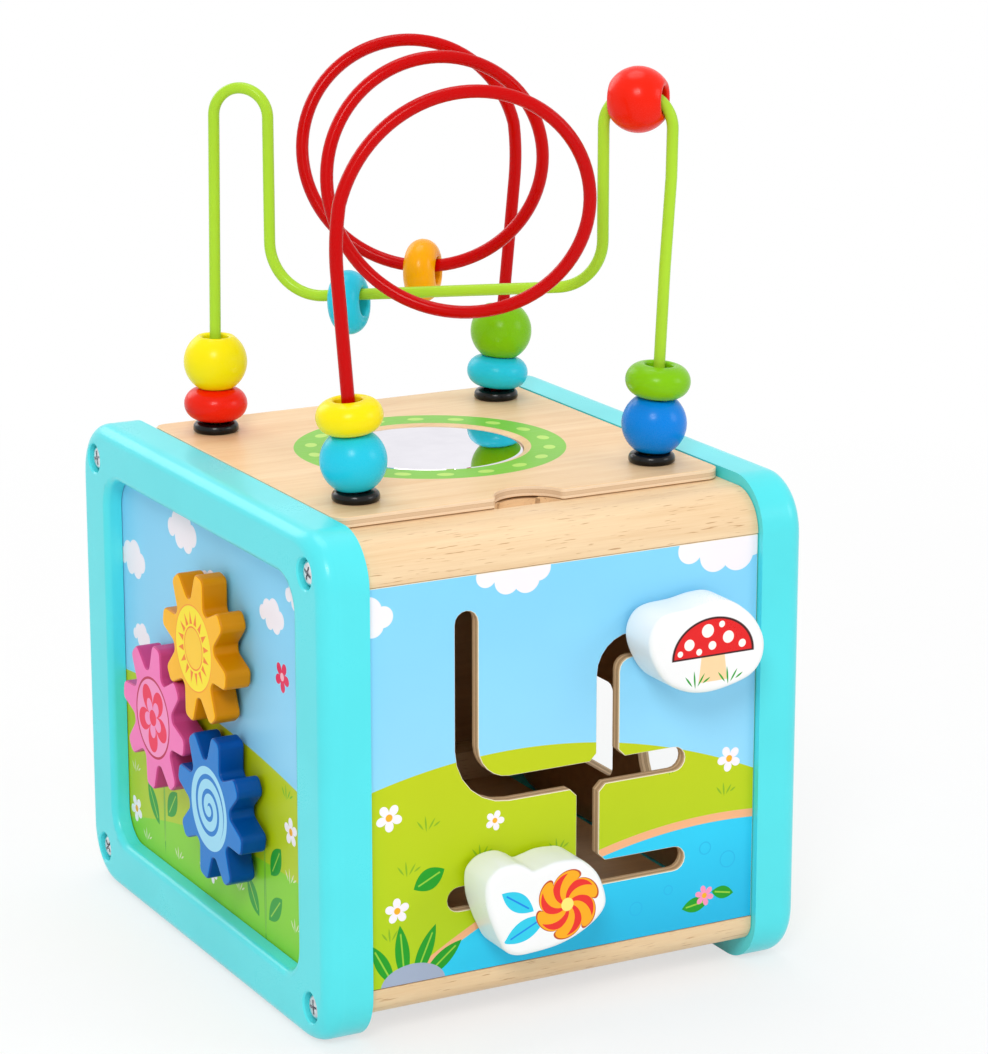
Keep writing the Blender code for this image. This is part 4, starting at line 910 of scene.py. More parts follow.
def meadow_print(sheet, colours):
    """The gear panel: clouds, a hill, a darker meadow, stems with leaves under the gears."""
    sheet.sky()
    sheet.clouds(
        (-27, 163, 9), (-77, 140, 8.2), (54, 150, 7), (76, 162, 6.5), (-70, 110, 5.5), (-2, 147, 7)
    )
    sheet.hill(95.5, -20.0, 0.0008)
    sheet.lay(inside(sheet.over_bow(53.0, 75.0, 0.0009), 0.0), colours.meadow)
    sheet.leaves(
        (-51, 44, 20, 0.8, 90), (-62, 43, 9.5, 3.8, 125), (-43, 48, 8.0, 4.4, 52), (44, 40, 24, 0.8, 90),
        (54, 55, 8.0, 4.4, 55), (53, 36, 8.5, 4.0, 45), (33, 35, 8.5, 4.0, 128),
    )
    sheet.tufts(
        blended(0.5, colours.hill, colours.cloud),
        (-70, 26, 4), (-38, 28, 4), (-14, 30, 4), (20, 34, 4), (66, 52, 4.5), (70, 34, 4), (-80, 52, 4),
    )
    sheet.tufts(blended(0.5, colours.meadow, colours.leaf), (64, 84, 4.5), (-77, 62, 4))
    sheet.daisies((62, 129, 6.0, 0.2), petal=srgb(232, 30, 90), heart=srgb(250, 190, 206))
    sheet.daisies((-80, 35, 5.6, 0.4), (67.5, 71, 5.6, 0.9), (-5, 32, 4.6, 0.2))


def sorter_print(sheet, colours):
    """The sorter panel: a hill under clouds, and a coloured rim round each hole."""
    sheet.sky()
    sheet.clouds((-66, 160, 10), (0, 166, 12), (66, 150, 10))
    sheet.hill(92.0, -10.0, 0.0024)
    sheet.straight_sided(29.0, 60.2, 24.0, (0, 90), colours.bead_orange)
    sheet.disc(-31.0, 60.2, 24.0, colours.bead_red)
    sheet.straight_sided(-31.0, 127.0, 21.0, (30, 90, 150), colours.bead_blue)
    sheet.straight_sided(29.0, 124.0, 14.8, (30, 150, 270), colours.pink_print, mirrored=False)
    sheet.tufts(colours.leaf, (-68, 40, 4.5), (0, 36, 4.5), (66, 44, 4.5), (0, 76, 4))
    sheet.daisies((-70, 66, 6, 0.2), (70, 70, 5.5, 0.7), (-1, 48, 5, 0.4))


def dial_print(sheet, colours):
    """The back panel: a clock dial with hour and minute marks over the hill and sky."""
    middle, paper, ink = 96.65, srgb(255, 252, 240), srgb(40, 60, 90)
    sheet.sky()
    sheet.hill(74.0, 0.0, 0.0016)
    sheet.clouds((-66, 158, 9), (68, 162, 9))
    sheet.daisies((-70, 36, 6, 0.2), (70, 34, 5.5, 0.7), (-58, 28, 4, 0.4))
    sheet.disc(0, middle, 64.0, colours.bead_orange)
    sheet.disc(0, middle, 59.0, paper)
    far = distance(sheet.place, (0, middle, 0))
    for count, half, inner in ((60, 0.35, 55.6), (12, 0.9, 54.0)):
        aside = beside_spoke(sheet.x, sheet.y - middle, count, 0.5)
        sheet.lay(inside(aside, half) * inside(far, 58.2) * (1.0 - inside(far, inner)), ink)


def printed_board(name, colours, draw, across, face, axis, face_at):
    """A printed plywood panel: the print on its face, eased pale rims, layered edges, and plain ply inside,
    darker in part as painted shade.
    """
    material, shader, point, normal = new_finish(name)
    facing = parts_of(normal)[axis] * float(face)
    depth = (face_at - parts_of(point)[axis]) * (1000.0 * face)
    edge = ply_layers(point=point, depth=depth, ply=1.25, light=colours.ply, dark=colours.ply_core)
    inner, _, _ = wood_grain(
        point=point, light=colours.inside, dark=blended(0.5, colours.inside, colours.ply_core),
        fleck=colours.ply_core, flecks=0.3,
    )
    sheet = Sheet(panel_place(point=point, centre=MIDDLE, across=across, up=UPWARD), colours, WHITE)
    draw(sheet, colours)
    on_face = facing > 0.93
    # Faces that look into the box take the darker inside ply, partly painted shade.
    colour = mixed(facing * -1.0 > 0.5, edge, inner)
    colour = mixed(facing > 0.30, colour, srgb(250, 240, 214))
    colour = mixed(on_face, colour, sheet.tone)
    tone, rough, height = lacquer(point=point, colour=colour, roughness=0.36, drift=0.03, grain=0.7)
    finish_with(shader, tone, rough + (1.0 - on_face) * 0.25, height, bump=0.000012)
    return material


def motif(draw, colours, centre, across, axis, painted_side_shade=False):
    """What prints a motif on the one face that looks along an axis, forward or to the left, with painted shade
    on the other faces if asked.
    """

    def over(point, normal, colour):
        sheet = Sheet(panel_place(point=point, centre=centre, across=across, up=UPWARD), colours, colour)
        draw(sheet, colours)
        side = colour
        # Painted shade: the other faces are painted darker and deeper than the printed face, as if less light
        # falls on them.
        if painted_side_shade:
            painted_shade_deep = blended(0.6, colour, [part * part for part in colour])
            side = blended(0.33, painted_shade_deep, BLACK)
        return mixed(parts_of(normal)[axis] * -1.0 > 0.85, side, sheet.tone)

    return over


# Lines that the wires follow, in metres from the middle of the cube.

WIRE_TAIL = lid_low.z - 0.0057
WIRE_FREE = CAP_TOP + 0.0006
LEFT_HUMP_RISE, LEFT_HUMP_RADIUS, LEFT_LEAN = 0.1243, 0.0110, 0.0016
RIGHT_HUMP_RISE, RIGHT_HUMP_RADIUS, RIGHT_LEAN = 0.1270, 0.0132, 0.0066
SHOULDER, SHOULDER_DROP = 0.0063, 0.018
BULGE, BULGE_RISE, BULGE_FOOT = 0.0042, 0.0742, (0.6, 0.5)
SAG_RISE, SAG_SLOPE, SAG_END = 0.0604, 0.0918, 0.0683
COIL_TURNS, COIL_HEADING = 2.5, -0.468
COIL_START, COIL_END = (0.0075, 0.0944, 0.0512), (0.0095, 0.1002, 0.0466)
COIL_SQUEEZE, COIL_RISE, COIL_FLATNESS = 0.0054, 0.0097, 0.987
COIL_BEND = 0.0110


def post(side, row, z):
    """A point over the post on a side, left -1 or right 1, in the front row -1 or the back row 1."""
    return Vector((side * POST.x, row * POST.y, z))


def on_diagonal(run, z):
    """A point of the lime wire's plane, through the back left and the front right post."""
    return Vector((run * POST.x / POST_REACH, -run * POST.y / POST_REACH, z))


def sag_height(run):
    return LID_TOP + SAG_RISE + SAG_SLOPE * run


def lime_line():
    left_top = LID_TOP + LEFT_HUMP_RISE
    right_top = LID_TOP + RIGHT_HUMP_RISE
    hump = -POST_REACH + LEFT_LEAN + LEFT_HUMP_RADIUS
    drop = hump + LEFT_HUMP_RADIUS
    right = POST_REACH + RIGHT_LEAN - RIGHT_HUMP_RADIUS
    points = [(-POST_REACH, WIRE_TAIL), (-POST_REACH, WIRE_FREE)]
    points += arc((hump, left_top), LEFT_HUMP_RADIUS, 180, 0, 40)
    points += eased(
        [(drop, left_top), (drop, sag_height(drop)), (SAG_END, sag_height(SAG_END)),
         (right - RIGHT_HUMP_RADIUS, right_top)],
        [0, 0.0200, 0.0190, 0], 24,
    )[1:-1]
    points += arc((right, right_top), RIGHT_HUMP_RADIUS, 180, 0, 44)
    points += [(POST_REACH + SHOULDER, right_top - SHOULDER_DROP), (POST_REACH + BULGE, LID_TOP + BULGE_RISE)]
    points.append((POST_REACH + BULGE * BULGE_FOOT[0], LID_TOP + BULGE_RISE * BULGE_FOOT[1]))
    return points + [(POST_REACH, WIRE_FREE), (POST_REACH, WIRE_TAIL)]


def coil_ends():
    lean, rise, _ = COIL_START
    start = post(-1, -1, LID_TOP + rise) - Vector((lean, 0, 0))
    lean, rise, _ = COIL_END
    return start, post(1, 1, LID_TOP + rise) + Vector((lean, 0, 0))


def coil_point(turn):
    """A point of the red coil, from turn 0 at the front left to its last turn at the back right."""
    share = turn / COIL_TURNS
    hump = 4 * share * (1 - share)
    first, last = COIL_START[2], COIL_END[2]
    radius = first + (last - first) * share - COIL_SQUEEZE * hump
    across = Vector((math.cos(COIL_HEADING), math.sin(COIL_HEADING), 0))
    start, end = coil_ends()
    centre = (start + across * first).lerp(end - across * last, share)
    centre.z = start.z + (end.z - start.z) * share + hump * COIL_RISE
    angle = math.tau * turn
    lift = Vector((0, 0, COIL_FLATNESS * radius * math.sin(angle)))
    return centre - across * radius * math.cos(angle) + lift


def softened(before, corner, after):
    """A soft bend from one straight line into another."""
    first = corner + (before - corner).normalized() * COIL_BEND
    last = corner + (after - corner).normalized() * COIL_BEND
    shares = [step / 10 for step in range(11)]
    return [first * (1 - t) ** 2 + corner * 2 * t * (1 - t) + last * t * t for t in shares]


def red_line():
    start, end = coil_ends()
    low_left, low_right = post(-1, -1, WIRE_FREE), post(1, 1, WIRE_FREE)
    coil = [coil_point(COIL_TURNS * step / 240) for step in range(1, 240)]
    points = [post(-1, -1, WIRE_TAIL), low_left]
    points += softened(low_left, start, coil_point(COIL_TURNS / 60))
    points += [spot for spot in coil if (spot - start).length > COIL_BEND and (spot - end).length > COIL_BEND]
    points += softened(coil_point(COIL_TURNS * 59 / 60), end, low_right)
    return points + [low_right, post(1, 1, WIRE_TAIL)]


# How each straight foot of a wire leans, and the beads' half thickness, colour and their wire's way.

FRONT_LEFT_FOOT = coil_ends()[0] - post(-1, -1, CAP_TOP)
BACK_RIGHT_FOOT = coil_ends()[1] - post(1, 1, CAP_TOP)
BACK_LEFT_FOOT = on_diagonal(-POST_REACH + LEFT_LEAN, LID_TOP + LEFT_HUMP_RISE) - post(-1, 1, CAP_TOP)
FRONT_RIGHT_FOOT = (
    on_diagonal(POST_REACH + BULGE * BULGE_FOOT[0], LID_TOP + BULGE_RISE * BULGE_FOOT[1]) - post(1, -1, CAP_TOP)
)
BALL, DISC = 0.0102, 0.0063
BEADS = (
    ("front_left_ball", BALL, "bead_sky", FRONT_LEFT_FOOT),
    ("front_left_disc", DISC, "bead_yellow", FRONT_LEFT_FOOT),
    ("back_right_disc", DISC, "bead_sky", BACK_RIGHT_FOOT),
    ("back_right_ball", BALL, "bead_green", BACK_RIGHT_FOOT),
    ("back_left_disc", DISC, "bead_red", BACK_LEFT_FOOT),
    ("back_left_ball", BALL, "bead_yellow", BACK_LEFT_FOOT),
    ("front_right_ball", BALL, "bead_blue", FRONT_RIGHT_FOOT),
    ("front_right_disc", DISC, "bead_green", FRONT_RIGHT_FOOT),
    ("sag_disc", DISC, "bead_sky", on_diagonal(1.0, SAG_SLOPE)),
    ("hump_ball", BALL, "bead_red", on_diagonal(1.0, 0.0)),
    ("loop_disc", DISC, "bead_orange", coil_point(1.76) - coil_point(1.74)),
)

NOTCH_MIDDLE, NOTCH_HALF, NOTCH_DEPTH = MIDDLE.x - 0.0020, 0.0140, 0.0115
NOTCH_RADIUS = (NOTCH_HALF ** 2 + NOTCH_DEPTH ** 2) / (2 * NOTCH_DEPTH)
NOTCH_REACH = lid_low.y + NOTCH_DEPTH
NOTCH_RIM = math.degrees(math.asin((NOTCH_RADIUS - NOTCH_DEPTH) / NOTCH_RADIUS))


def notch_arc(start, end, steps):
    """The finger notch in the lid's front edge, as a part of a circle."""
    return arc((NOTCH_MIDDLE, NOTCH_REACH - NOTCH_RADIUS), NOTCH_RADIUS, start, end, steps)


SCREW_INSET, SINK_DEPTH = 0.0143, 0.0052


def screw_spots():
    y, low, high = HALF_DEPTH - SCREW_INSET, SCREW_INSET, FRAME_TOP - SCREW_INSET
    return {"front_bottom": (-y, low), "back_bottom": (y, low), "front_top": (-y, high), "back_top": (y, high)}


class CUBE_OT_side_frames(bpy.types.Operator):
    """Model the two rounded turquoise side frames with their windows and counterbores"""

    bl_idname = "cube.side_frames"
    bl_label = "Side Frames"

    def execute(self, context):
        sizes = context.scene.cube_sizes
        coat = lacquered(
            "turquoise lacquer", context.scene.cube_colours.turquoise, roughness=0.3, drift=0.04, grain=0.15,
            bump=0.00001, coat=0.15,
        )
        rebate, rebate_depth, stile, sill, head = 0.0060, 0.0070, 0.0247, 0.0215, 0.0193
        window = (left_low.y + stile, sill, left_high.y - stile, FRAME_TOP - head)
        for side, name in ((-1, "side_frame_left"), (1, "side_frame_right")):
            low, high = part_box(name)
            outer = high.x if side > 0 else low.x
            border = rounded_outline(outer, (low.y, low.z, high.y, high.z), sizes.frame_corner, 16)
            ledge = rounded_outline(outer, grown(window, rebate), sizes.window_corner + rebate, 16)
            rim = rounded_outline(outer, window, sizes.window_corner, 16)
            piece = join([border, ledge, rim])
            self.fill_rings(piece)
            self.deepen(piece, -side * rebate_depth, lambda spot: True)
            deeper = -side * (high.x - low.x - rebate_depth)
            self.deepen(piece, deeper, lambda spot: not inside_of(spot, window, rebate - 0.0005))
            clean(piece)
            round_edges(
                piece, lambda spot: abs(spot.x - outer) < TOUCH and inside_of(spot, window, 0.001),
                sizes.window_edge, 4,
            )
            round_edges(
                piece, lambda spot: abs(spot.x - outer) < TOUCH and self.on_border(spot, sizes.frame_corner),
                sizes.frame_edge, 7,
            )
            self.merge_corners(piece, outer, window, sizes)
            self.sink_screws(piece, outer, PLAIN if side > 0 else HALF_TURN)
            even_shading(piece, 32)
            settle(piece, name + "_ring", "box", coat, "turquoise_paint", name)
        return {"FINISHED"}

    def sink_screws(self, piece, outer, facing):
        radius, mouth, lip = 0.0058, 0.0067, 0.0010
        profile = [(0, lip), (mouth, lip), (mouth, 0.0003), (radius, -0.0006), (radius, -SINK_DEPTH)]
        profile.append((0, -SINK_DEPTH))
        for y, z in screw_spots().values():
            cut(piece, turned(profile, 48, Matrix.Translation((outer, MIDDLE.y + y, z)) @ facing @ LIE_ON_X))

    def fill_rings(self, piece):
        """Spans the two flat rings between three outlines that have their points in the same order."""
        with editing(piece) as form:
            form.verts.ensure_lookup_table()
            count = len(form.verts) // 3
            sides = [(edge.verts[0].index, edge.verts[1].index) for edge in form.edges]
            for a, b in sides:
                if max(a, b) < 2 * count:
                    form.faces.new([form.verts[spot] for spot in (a, b, b + count, a + count)])
            bmesh.update_edit_mesh(piece.data)
            bpy.ops.mesh.select_all(action="SELECT")
            bpy.ops.mesh.normals_make_consistent(inside=False)

    def deepen(self, piece, depth, wanted):
        """Extrudes those of the back faces that pass the test away from the outside."""
        away = math.copysign(1, depth)
        with editing(piece, "FACE", "DESELECT") as form:
            form.normal_update()
            flat = [face for face in form.faces if abs(face.normal.x) > 0.9]
            back = max(face.calc_center_median().x * away for face in flat) - TOUCH
            choose(piece, flat, lambda face: (
                face.calc_center_median().x * away > back and wanted(face.calc_center_median())
            ))
            bpy.ops.mesh.extrude_region_move(TRANSFORM_OT_translate={"value": (depth, 0, 0)})

    def merge_corners(self, piece, outer, window, sizes):
        """Joins the flat faces of each corner into one, so that its counterbore cuts a single face."""
        near, flush = 0.00004, 0.00002
        half = (window[2] - window[0]) / 2 - sizes.window_corner
        reaches = (HALF_DEPTH - sizes.frame_corner, half)
        ends_y = [MIDDLE.y + sign * reach for sign in (-1, 1) for reach in reaches]
        ends_z = [sizes.frame_corner, FRAME_TOP - sizes.frame_corner]
        ends_z += [window[1] + sizes.window_corner, window[3] - sizes.window_corner]

        def at_end(spot):
            gaps = [abs(spot.y - y) for y in ends_y] + [abs(spot.z - z) for z in ends_z]
            return min(gaps) < near

        def in_corner(edge):
            around = [vertex for face in edge.link_faces for vertex in face.verts]
            flat = all(abs(vertex.co.x - outer) < flush for vertex in around)
            return flat and not all(at_end(vertex.co) for vertex in edge.verts)

        with editing(piece, "EDGE", "DESELECT") as form:
            choose(piece, form.edges, in_corner)
            bpy.ops.mesh.dissolve_edges(use_verts=True)

    def on_border(self, spot, corner):
        """Whether a point lies on the rounded square that bounds a side frame."""
        y = abs(spot.y - MIDDLE.y) - HALF_DEPTH + corner
        z = abs(spot.z - FRAME_TOP / 2) - FRAME_TOP / 2 + corner
        if y > 0 and z > 0:
            return abs(math.hypot(y, z) - corner) < TOUCH
        return abs(max(y, z) - corner) < TOUCH


class CUBE_OT_frame_screws(bpy.types.Operator):
    """Model one cross-head screw and copy it into the eight counterbores"""

    bl_idname = "cube.frame_screws"
    bl_label = "Frame Screws"

    def execute(self, context):
        metal = screw_metal()
        master = self.screw(HALF_WIDTH - SINK_DEPTH + PLAY)
        for side, label, facing in ((-1, "left", HALF_TURN), (1, "right", PLAIN)):
            for where, (y, z) in screw_spots().items():
                piece = copied(master)
                twist = 37 * where.startswith("back") + 61 * where.endswith("top") + 13 * side
                piece.data.transform(
                    Matrix.Translation((MIDDLE.x, MIDDLE.y + y, z)) @ facing @ LIE_ON_X
                    @ Matrix.Rotation(math.radians(twist), 4, "Z")
                )
                name = "screw_" + label + "_" + where
                settle(piece, name, "box", metal, "screw_steel", "frame_" + name)
        bpy.data.objects.remove(master, do_unlink=True)
        return {"FINISHED"}

    def screw(self, floor):
        """A round head with a cross recess, and its shank, along local Z."""
        top, head, shank, recess = floor + 0.0036, 0.0048, 0.0020, 0.0019
        profile = [(0, top), (0.0022, top - 0.0001)]
        profile += arc((head - 0.0018, top - 0.0019), 0.0018, 80, 0, 7)
        profile += [(head, floor + 0.0001), (head - 0.0002, floor), (shank, floor)]
        profile += [(shank, floor - 0.0180), (0, floor - 0.0200)]
        piece = turned(profile, 32)
        for turn in (20, 110):
            tool = block((-0.0028, -0.00055, top - 0.0016), (0.0028, 0.00055, top + 0.001))
            tool.data.transform(Matrix.Rotation(math.radians(turn), 4, "Z"))
            cut(piece, tool)
        core = [(0, top + 0.001), (0.0013, top + 0.001), (0.0007, top - recess), (0, top - recess)]
        cut(piece, turned(core, 12))
        even_shading(piece, 40)
        return piece


class CUBE_OT_rails(bpy.types.Operator):
    """Model the four beech rails, the front top one with its finger scoop"""

    bl_idname = "cube.rails"
    bl_label = "Beech Rails"

    def execute(self, context):
        colours = context.scene.cube_colours
        beech = bare_wood("beech", colours.beech, colours.beech_dark, colours.beech_fleck, 0.75)
        rail_low, rail_high = (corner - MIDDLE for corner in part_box("top_rail_front"))
        top, seat, step_half = rail_high.z, rail_high.y, 0.0180
        low, high = self.sections(rail_low.y, seat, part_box("bottom_rail_front")[0].z, top)
        for node, section, flip in (
            ("top_rail_front", high, 1), ("top_rail_back", high, -1),
            ("bottom_rail_front", low, 1), ("bottom_rail_back", low, -1),
        ):
            outline = [(flip * y, z) for y, z in section]
            piece = plate([outline], 2 * rail_high.x, Matrix.Translation(MIDDLE) @ X_SIDE)
            if node == "top_rail_front":
                cut(piece, self.scoop(top - 0.0035))
                step = block(
                    (NOTCH_MIDDLE - step_half, MIDDLE.y + seat - 0.0010, top - 0.0110),
                    (NOTCH_MIDDLE + step_half, NOTCH_REACH + 0.0040, top - 0.0006),
                )
                cut(step, self.scoop(top - 0.0036))
                piece = join([piece, step])
            even_shading(piece, 30)
            settle(piece, node + "_bar", "box", beech, "bare_beech", node)
        return {"FINISHED"}

    def sections(self, face, seat, bottom, top):
        """The outlines of a bottom and a top rail in Y and Z, rounded to the front, with rebates behind."""
        tongue, back, roll, foot_roll = face + 0.0053, face + 0.0188, 0.0152, 0.0080
        under_roll = top - roll
        foot, ledge = under_roll - 0.0105, top - 0.0135
        high = [(face, under_roll), (tongue, under_roll), (tongue, foot), (back, foot), (back, ledge)]
        high += [(seat, ledge), (seat, top - 0.0005), (seat - 0.0005, top)]
        high += arc((face + roll, under_roll), roll, 90, 180, 24)[:-1]
        lip, floor_rest, head = bottom + 0.0110, bottom + 0.0040, bottom + 0.0215
        low = [(face, lip)] + arc((face + foot_roll, bottom + foot_roll), foot_roll, 180, 270, 16)
        low += [(back + 0.0080, bottom), (back + 0.0080, floor_rest), (back, floor_rest), (back, head)]
        return low + [(tongue, head), (tongue, lip)], high

    def scoop(self, floor):
        """The tool that clears the finger scoop down to its floor."""
        thick = 0.0055
        outline = notch_arc(NOTCH_RIM, 180 - NOTCH_RIM, 32)
        return plate([outline], thick, Matrix.Translation((0, 0, floor + thick / 2)))


class CUBE_OT_panels(bpy.types.Operator):
    """Print the four panels, ease the edges of those with slots and holes, and finish the floor board"""

    bl_idname = "cube.panels"
    bl_label = "Printed Panels"

    def execute(self, context):
        sizes = context.scene.cube_sizes
        colours = context.scene.cube_colours
        for node, name, draw, across, face, axis in (
            ("track_board", "pond print", pond_print, RIGHTWARD, -1, Y_AXIS),
            ("gear_board", "meadow print", meadow_print, FORWARD, -1, X_AXIS),
            ("sorter_board", "sorter print", sorter_print, BACKWARD, 1, X_AXIS),
            ("clock_board", "dial print", dial_print, LEFTWARD, 1, Y_AXIS),
        ):
            finish = printed_board(name, colours, draw, across, face, axis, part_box(node)[face > 0][axis])
            if node in ("gear_board", "clock_board"):
                dress(node, finish)
                continue
            piece = copy_of_node(node)
            bevel_corners(piece, sizes.panel_edge, 1, use_clamp_overlap=True)
            even_shading(piece, 30)
            settle(piece, node + "_print", "box", finish, "printed_ply", node)
        # The floor board inside the box also takes the darker inside ply, partly painted shade.
        dress("base_board", bare_wood(
            "floor ply", colours.inside, colours.ply_dark, colours.ply_core, 0.3, bump=0.00004, coat=0.0
        ))
        return {"FINISHED"}


class CUBE_OT_lid(bpy.types.Operator):
    """Model the plywood lid with its notch and mirror recess, and the round mirror"""

    bl_idname = "cube.lid"
    bl_label = "Lid and Mirror"

    def execute(self, context):
        colours = context.scene.cube_colours
        hole, edge = 0.0051, 0.0004
        holes = [arc(MIDDLE + post(x, y, 0), hole, 0, 345, 23) for x in (-1, 1) for y in (-1, 1)]
        place = Matrix.Translation((0, 0, (lid_low.z + lid_high.z) / 2))
        piece = plate([self.outline()] + holes, lid_high.z - lid_low.z, place, edge, 2)
        low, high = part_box("mirror")
        reach, thick = (high.x - low.x) / 2, high.z - low.z
        bore, over = reach + PLAY, LID_TOP + 0.001
        cut(piece, turned(
            [(0, over), (reach + 0.0040, over), (reach + 0.0030, LID_TOP), (reach + 0.0022, LID_TOP - 0.0003),
             (bore, high.z), (bore, low.z - PLAY), (0, low.z - PLAY)],
            120, Matrix.Translation(MIDDLE),
        ))
        even_shading(piece, 30)
        settle(piece, "lid_board", "lid", self.ply(colours), "lid_ply", "lid")
        glass = turned(
            [(0, thick), (reach - 0.0010, thick), (reach, thick - 0.0005), (reach, 0), (0, 0)],
            120, Matrix.Translation((MIDDLE.x, MIDDLE.y, low.z)),
        )
        even_shading(glass, 12)
        settle(glass, "mirror_glass", "lid", self.silver(), "silvered", "mirror")
        return {"FINISHED"}

    def outline(self):
        """The lid's outline, with its notch and its rounded corners."""
        low, high, corner, lead = lid_low, lid_high, 0.0055, NOTCH_HALF + 0.004
        notch, bends = notch_arc(180 - NOTCH_RIM, NOTCH_RIM, 40), [0, 0.0020, 0]
        outline = eased([(NOTCH_MIDDLE - lead, low.y), notch[0], notch[3]], bends, 6)[:-1]
        outline += notch[3:-3]
        outline += eased([notch[-4], notch[-1], (NOTCH_MIDDLE + lead, low.y)], bends, 6)[1:]
        for x, y, turn in ((high.x, low.y, 270), (high.x, high.y, 0), (low.x, high.y, 90), (low.x, low.y, 180)):
            spot = (x + math.copysign(corner, MIDDLE.x - x), y + math.copysign(corner, MIDDLE.y - y))
            outline += arc(spot, corner, turn, turn + 90, 10)
        return outline

    def ply(self, colours):
        """Pale veneer with a printed green ring, and layered edges."""
        material, shader, point, normal = new_finish("lid ply")
        grain, rough, height = wood_grain(
            point=point, light=colours.ply, dark=colours.ply_dark, fleck=colours.beech_fleck, flecks=0.16
        )
        place = panel_place(point=point, centre=MIDDLE, across=RIGHTWARD, up=BACKWARD)
        far = length_of(place)
        x, y, _ = parts_of(place)
        dots, middle, half_long, half_wide, inner, outer = 18, 46.0, 3.4, 2.4, 39.0, 52.6
        share = fraction((angle_of(x, y) + math.pi) / (math.tau / dots))
        along = (share - 0.5) * (math.tau / dots * middle)
        off = together(along / half_long, (far - middle) / half_wide)
        ring_print = mixed(inside(length_of(off), 1.0, 0.08), colours.ring, colours.ring_dot)
        up = parts_of(normal)[Z_AXIS]
        edge = ply_layers(
            point=point, depth=(LID_TOP - parts_of(point)[Z_AXIS]) * 1000.0, ply=1.34,
            light=blended(0.25, colours.ply, WHITE), dark=blended(0.4, colours.ply_core, colours.ply),
        )
        colour = mixed(abs(up) > 0.5, edge, grain)
        colour = mixed(inside(far, outer) * (far > inner) * (up > 0.9), colour, ring_print)
        finish_with(shader, colour, rough, height, coat=0.2, coat_roughness=0.25)
        return material

    def silver(self):
        """A mirror with a trace of dust."""
        material, shader, point, _ = new_finish("mirror silver")
        haze = noise(point, 60.0, 3.0)
        dust = ranged(noise(point, 1800.0), 0.66, 0.76)
        tone = mixed(ranged(haze, 0.3, 0.8), srgb(238, 235, 243), srgb(226, 223, 232))
        finish_with(shader, tone, ranged(haze, 0.3, 0.8, 0.015, 0.04) + dust * 0.08, metallic=1.0)
        return material


class CUBE_OT_posts(bpy.types.Operator):
    """Turn the four glossy black caps, and finish the nuts under the lid"""

    bl_idname = "cube.posts"
    bl_label = "Post Caps"

    def execute(self, context):
        black = lacquered(
            "black gloss", srgb(7, 7, 8), roughness=0.22, drift=0.2, grain=0.1, bump=0.000006, coat=0.08
        )
        sizes = context.scene.cube_sizes
        for row, y in (("front", -1), ("back", 1)):
            for column, x in (("left", -1), ("right", 1)):
                wire = sizes.red_wire if x == y else sizes.lime_wire
                place = Matrix.Translation(MIDDLE + post(x, y, 0))
                piece = turned(self.profile(wire + PLAY), 48, place)
                even_shading(piece, 40, False)
                node = "post_cap_" + row + "_" + column
                settle(piece, node + "_turned", "lid", black, "black_gloss", node)
                dress("post_nut_" + row + "_" + column, screw_metal())
        return {"FINISHED"}

    def profile(self, bore):
        """Out over the cap's top, down its side, in under its foot, and back up its bore."""
        low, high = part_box("post_cap_front_left")
        radius, top, edge, tail = (high.x - low.x) / 2, high.z, 0.0023, 0.0048
        base = LID_TOP + PLAY
        points = [(bore, top - 0.0008), (bore + 0.0005, top - 0.0001), (bore + 0.0012, top)]
        points += [(0.0060, top - 0.0003)] + arc((radius - edge, top - 0.0027), edge, 85, 0, 8)
        points += [(radius, base + 0.0006), (radius - 0.0004, base), (tail, base), (tail, low.z), (bore, low.z)]
        return points + [points[0]]


class CUBE_OT_wires(bpy.types.Operator):
    """Bend the lime wire and the coiled red wire"""

    bl_idname = "cube.wires"
    bl_label = "Wires"

    def execute(self, context):
        sizes = context.scene.cube_sizes
        colours = context.scene.cube_colours
        lime = [on_diagonal(run, z) for run, z in lime_line()]
        for node, name, points, radius, colour, look in (
            ("wire_green", "lime", lime, sizes.lime_wire, colours.lime_wire,
             {"roughness": 0.24, "drift": 0.06, "coat": 0.06, "gloss": 0.15}),
            ("wire_red", "red", red_line(), sizes.red_wire, colours.red_wire,
             {"roughness": 0.2, "drift": 0.08, "coat": 0.04, "gloss": 0.1}),
        ):
            piece = bent_wire([spot + MIDDLE for spot in points], radius)
            enamel = lacquered(name + " enamel", colour, grain=0.0, bump=0.000006, **look)
            settle(piece, "wire_" + name + "_bent", "lid", enamel, name + "_enamel", node)
        return {"FINISHED"}


class CUBE_OT_beads(bpy.types.Operator):
    """Turn the ball and disc beads and thread them on the wires"""

    bl_idname = "cube.beads"
    bl_label = "Beads"

    def execute(self, context):
        sizes = context.scene.cube_sizes
        coats = {}
        for body, half, key, axis in BEADS:
            if key not in coats:
                coats[key] = lacquered(
                    "bead lacquer " + key[5:], getattr(context.scene.cube_colours, key), roughness=0.26,
                    drift=0.06, grain=0.35, bump=0.00001, coat=0.06, gloss=0.15,
                )
            node = "bead_" + body
            turn = Vector(UPWARD).rotation_difference(axis).to_matrix().to_4x4()
            piece = turned(
                self.profile(sizes.bead, half), sizes.bead_steps, Matrix.Translation(node_middle(node)) @ turn
            )
            even_shading(piece, 60, False)
            settle(piece, node + "_turned", body, coats[key], key, node)
        return {"FINISHED"}

    def profile(self, radius, half):
        """Down the rounded outside, round the bore's lip and back up the bore."""
        bore, lip = 0.0052, 0.0012
        flat = bore + lip
        if half > radius * 0.7:
            top = math.degrees(math.asin(half / radius))
            outside = arc((0, 0), radius, top, -top, 26)
        else:
            outside = [(max(x, flat), z) for x, z in arc((radius - half, 0), half, 90, -90, 26)]
        inner = arc((flat, lip - half), lip, 270, 180, 5)[1:]
        points = [(flat, half)] + outside + [(flat, -half)] + inner + [(x, -z) for x, z in inner[::-1]]
        return points + [points[0]]


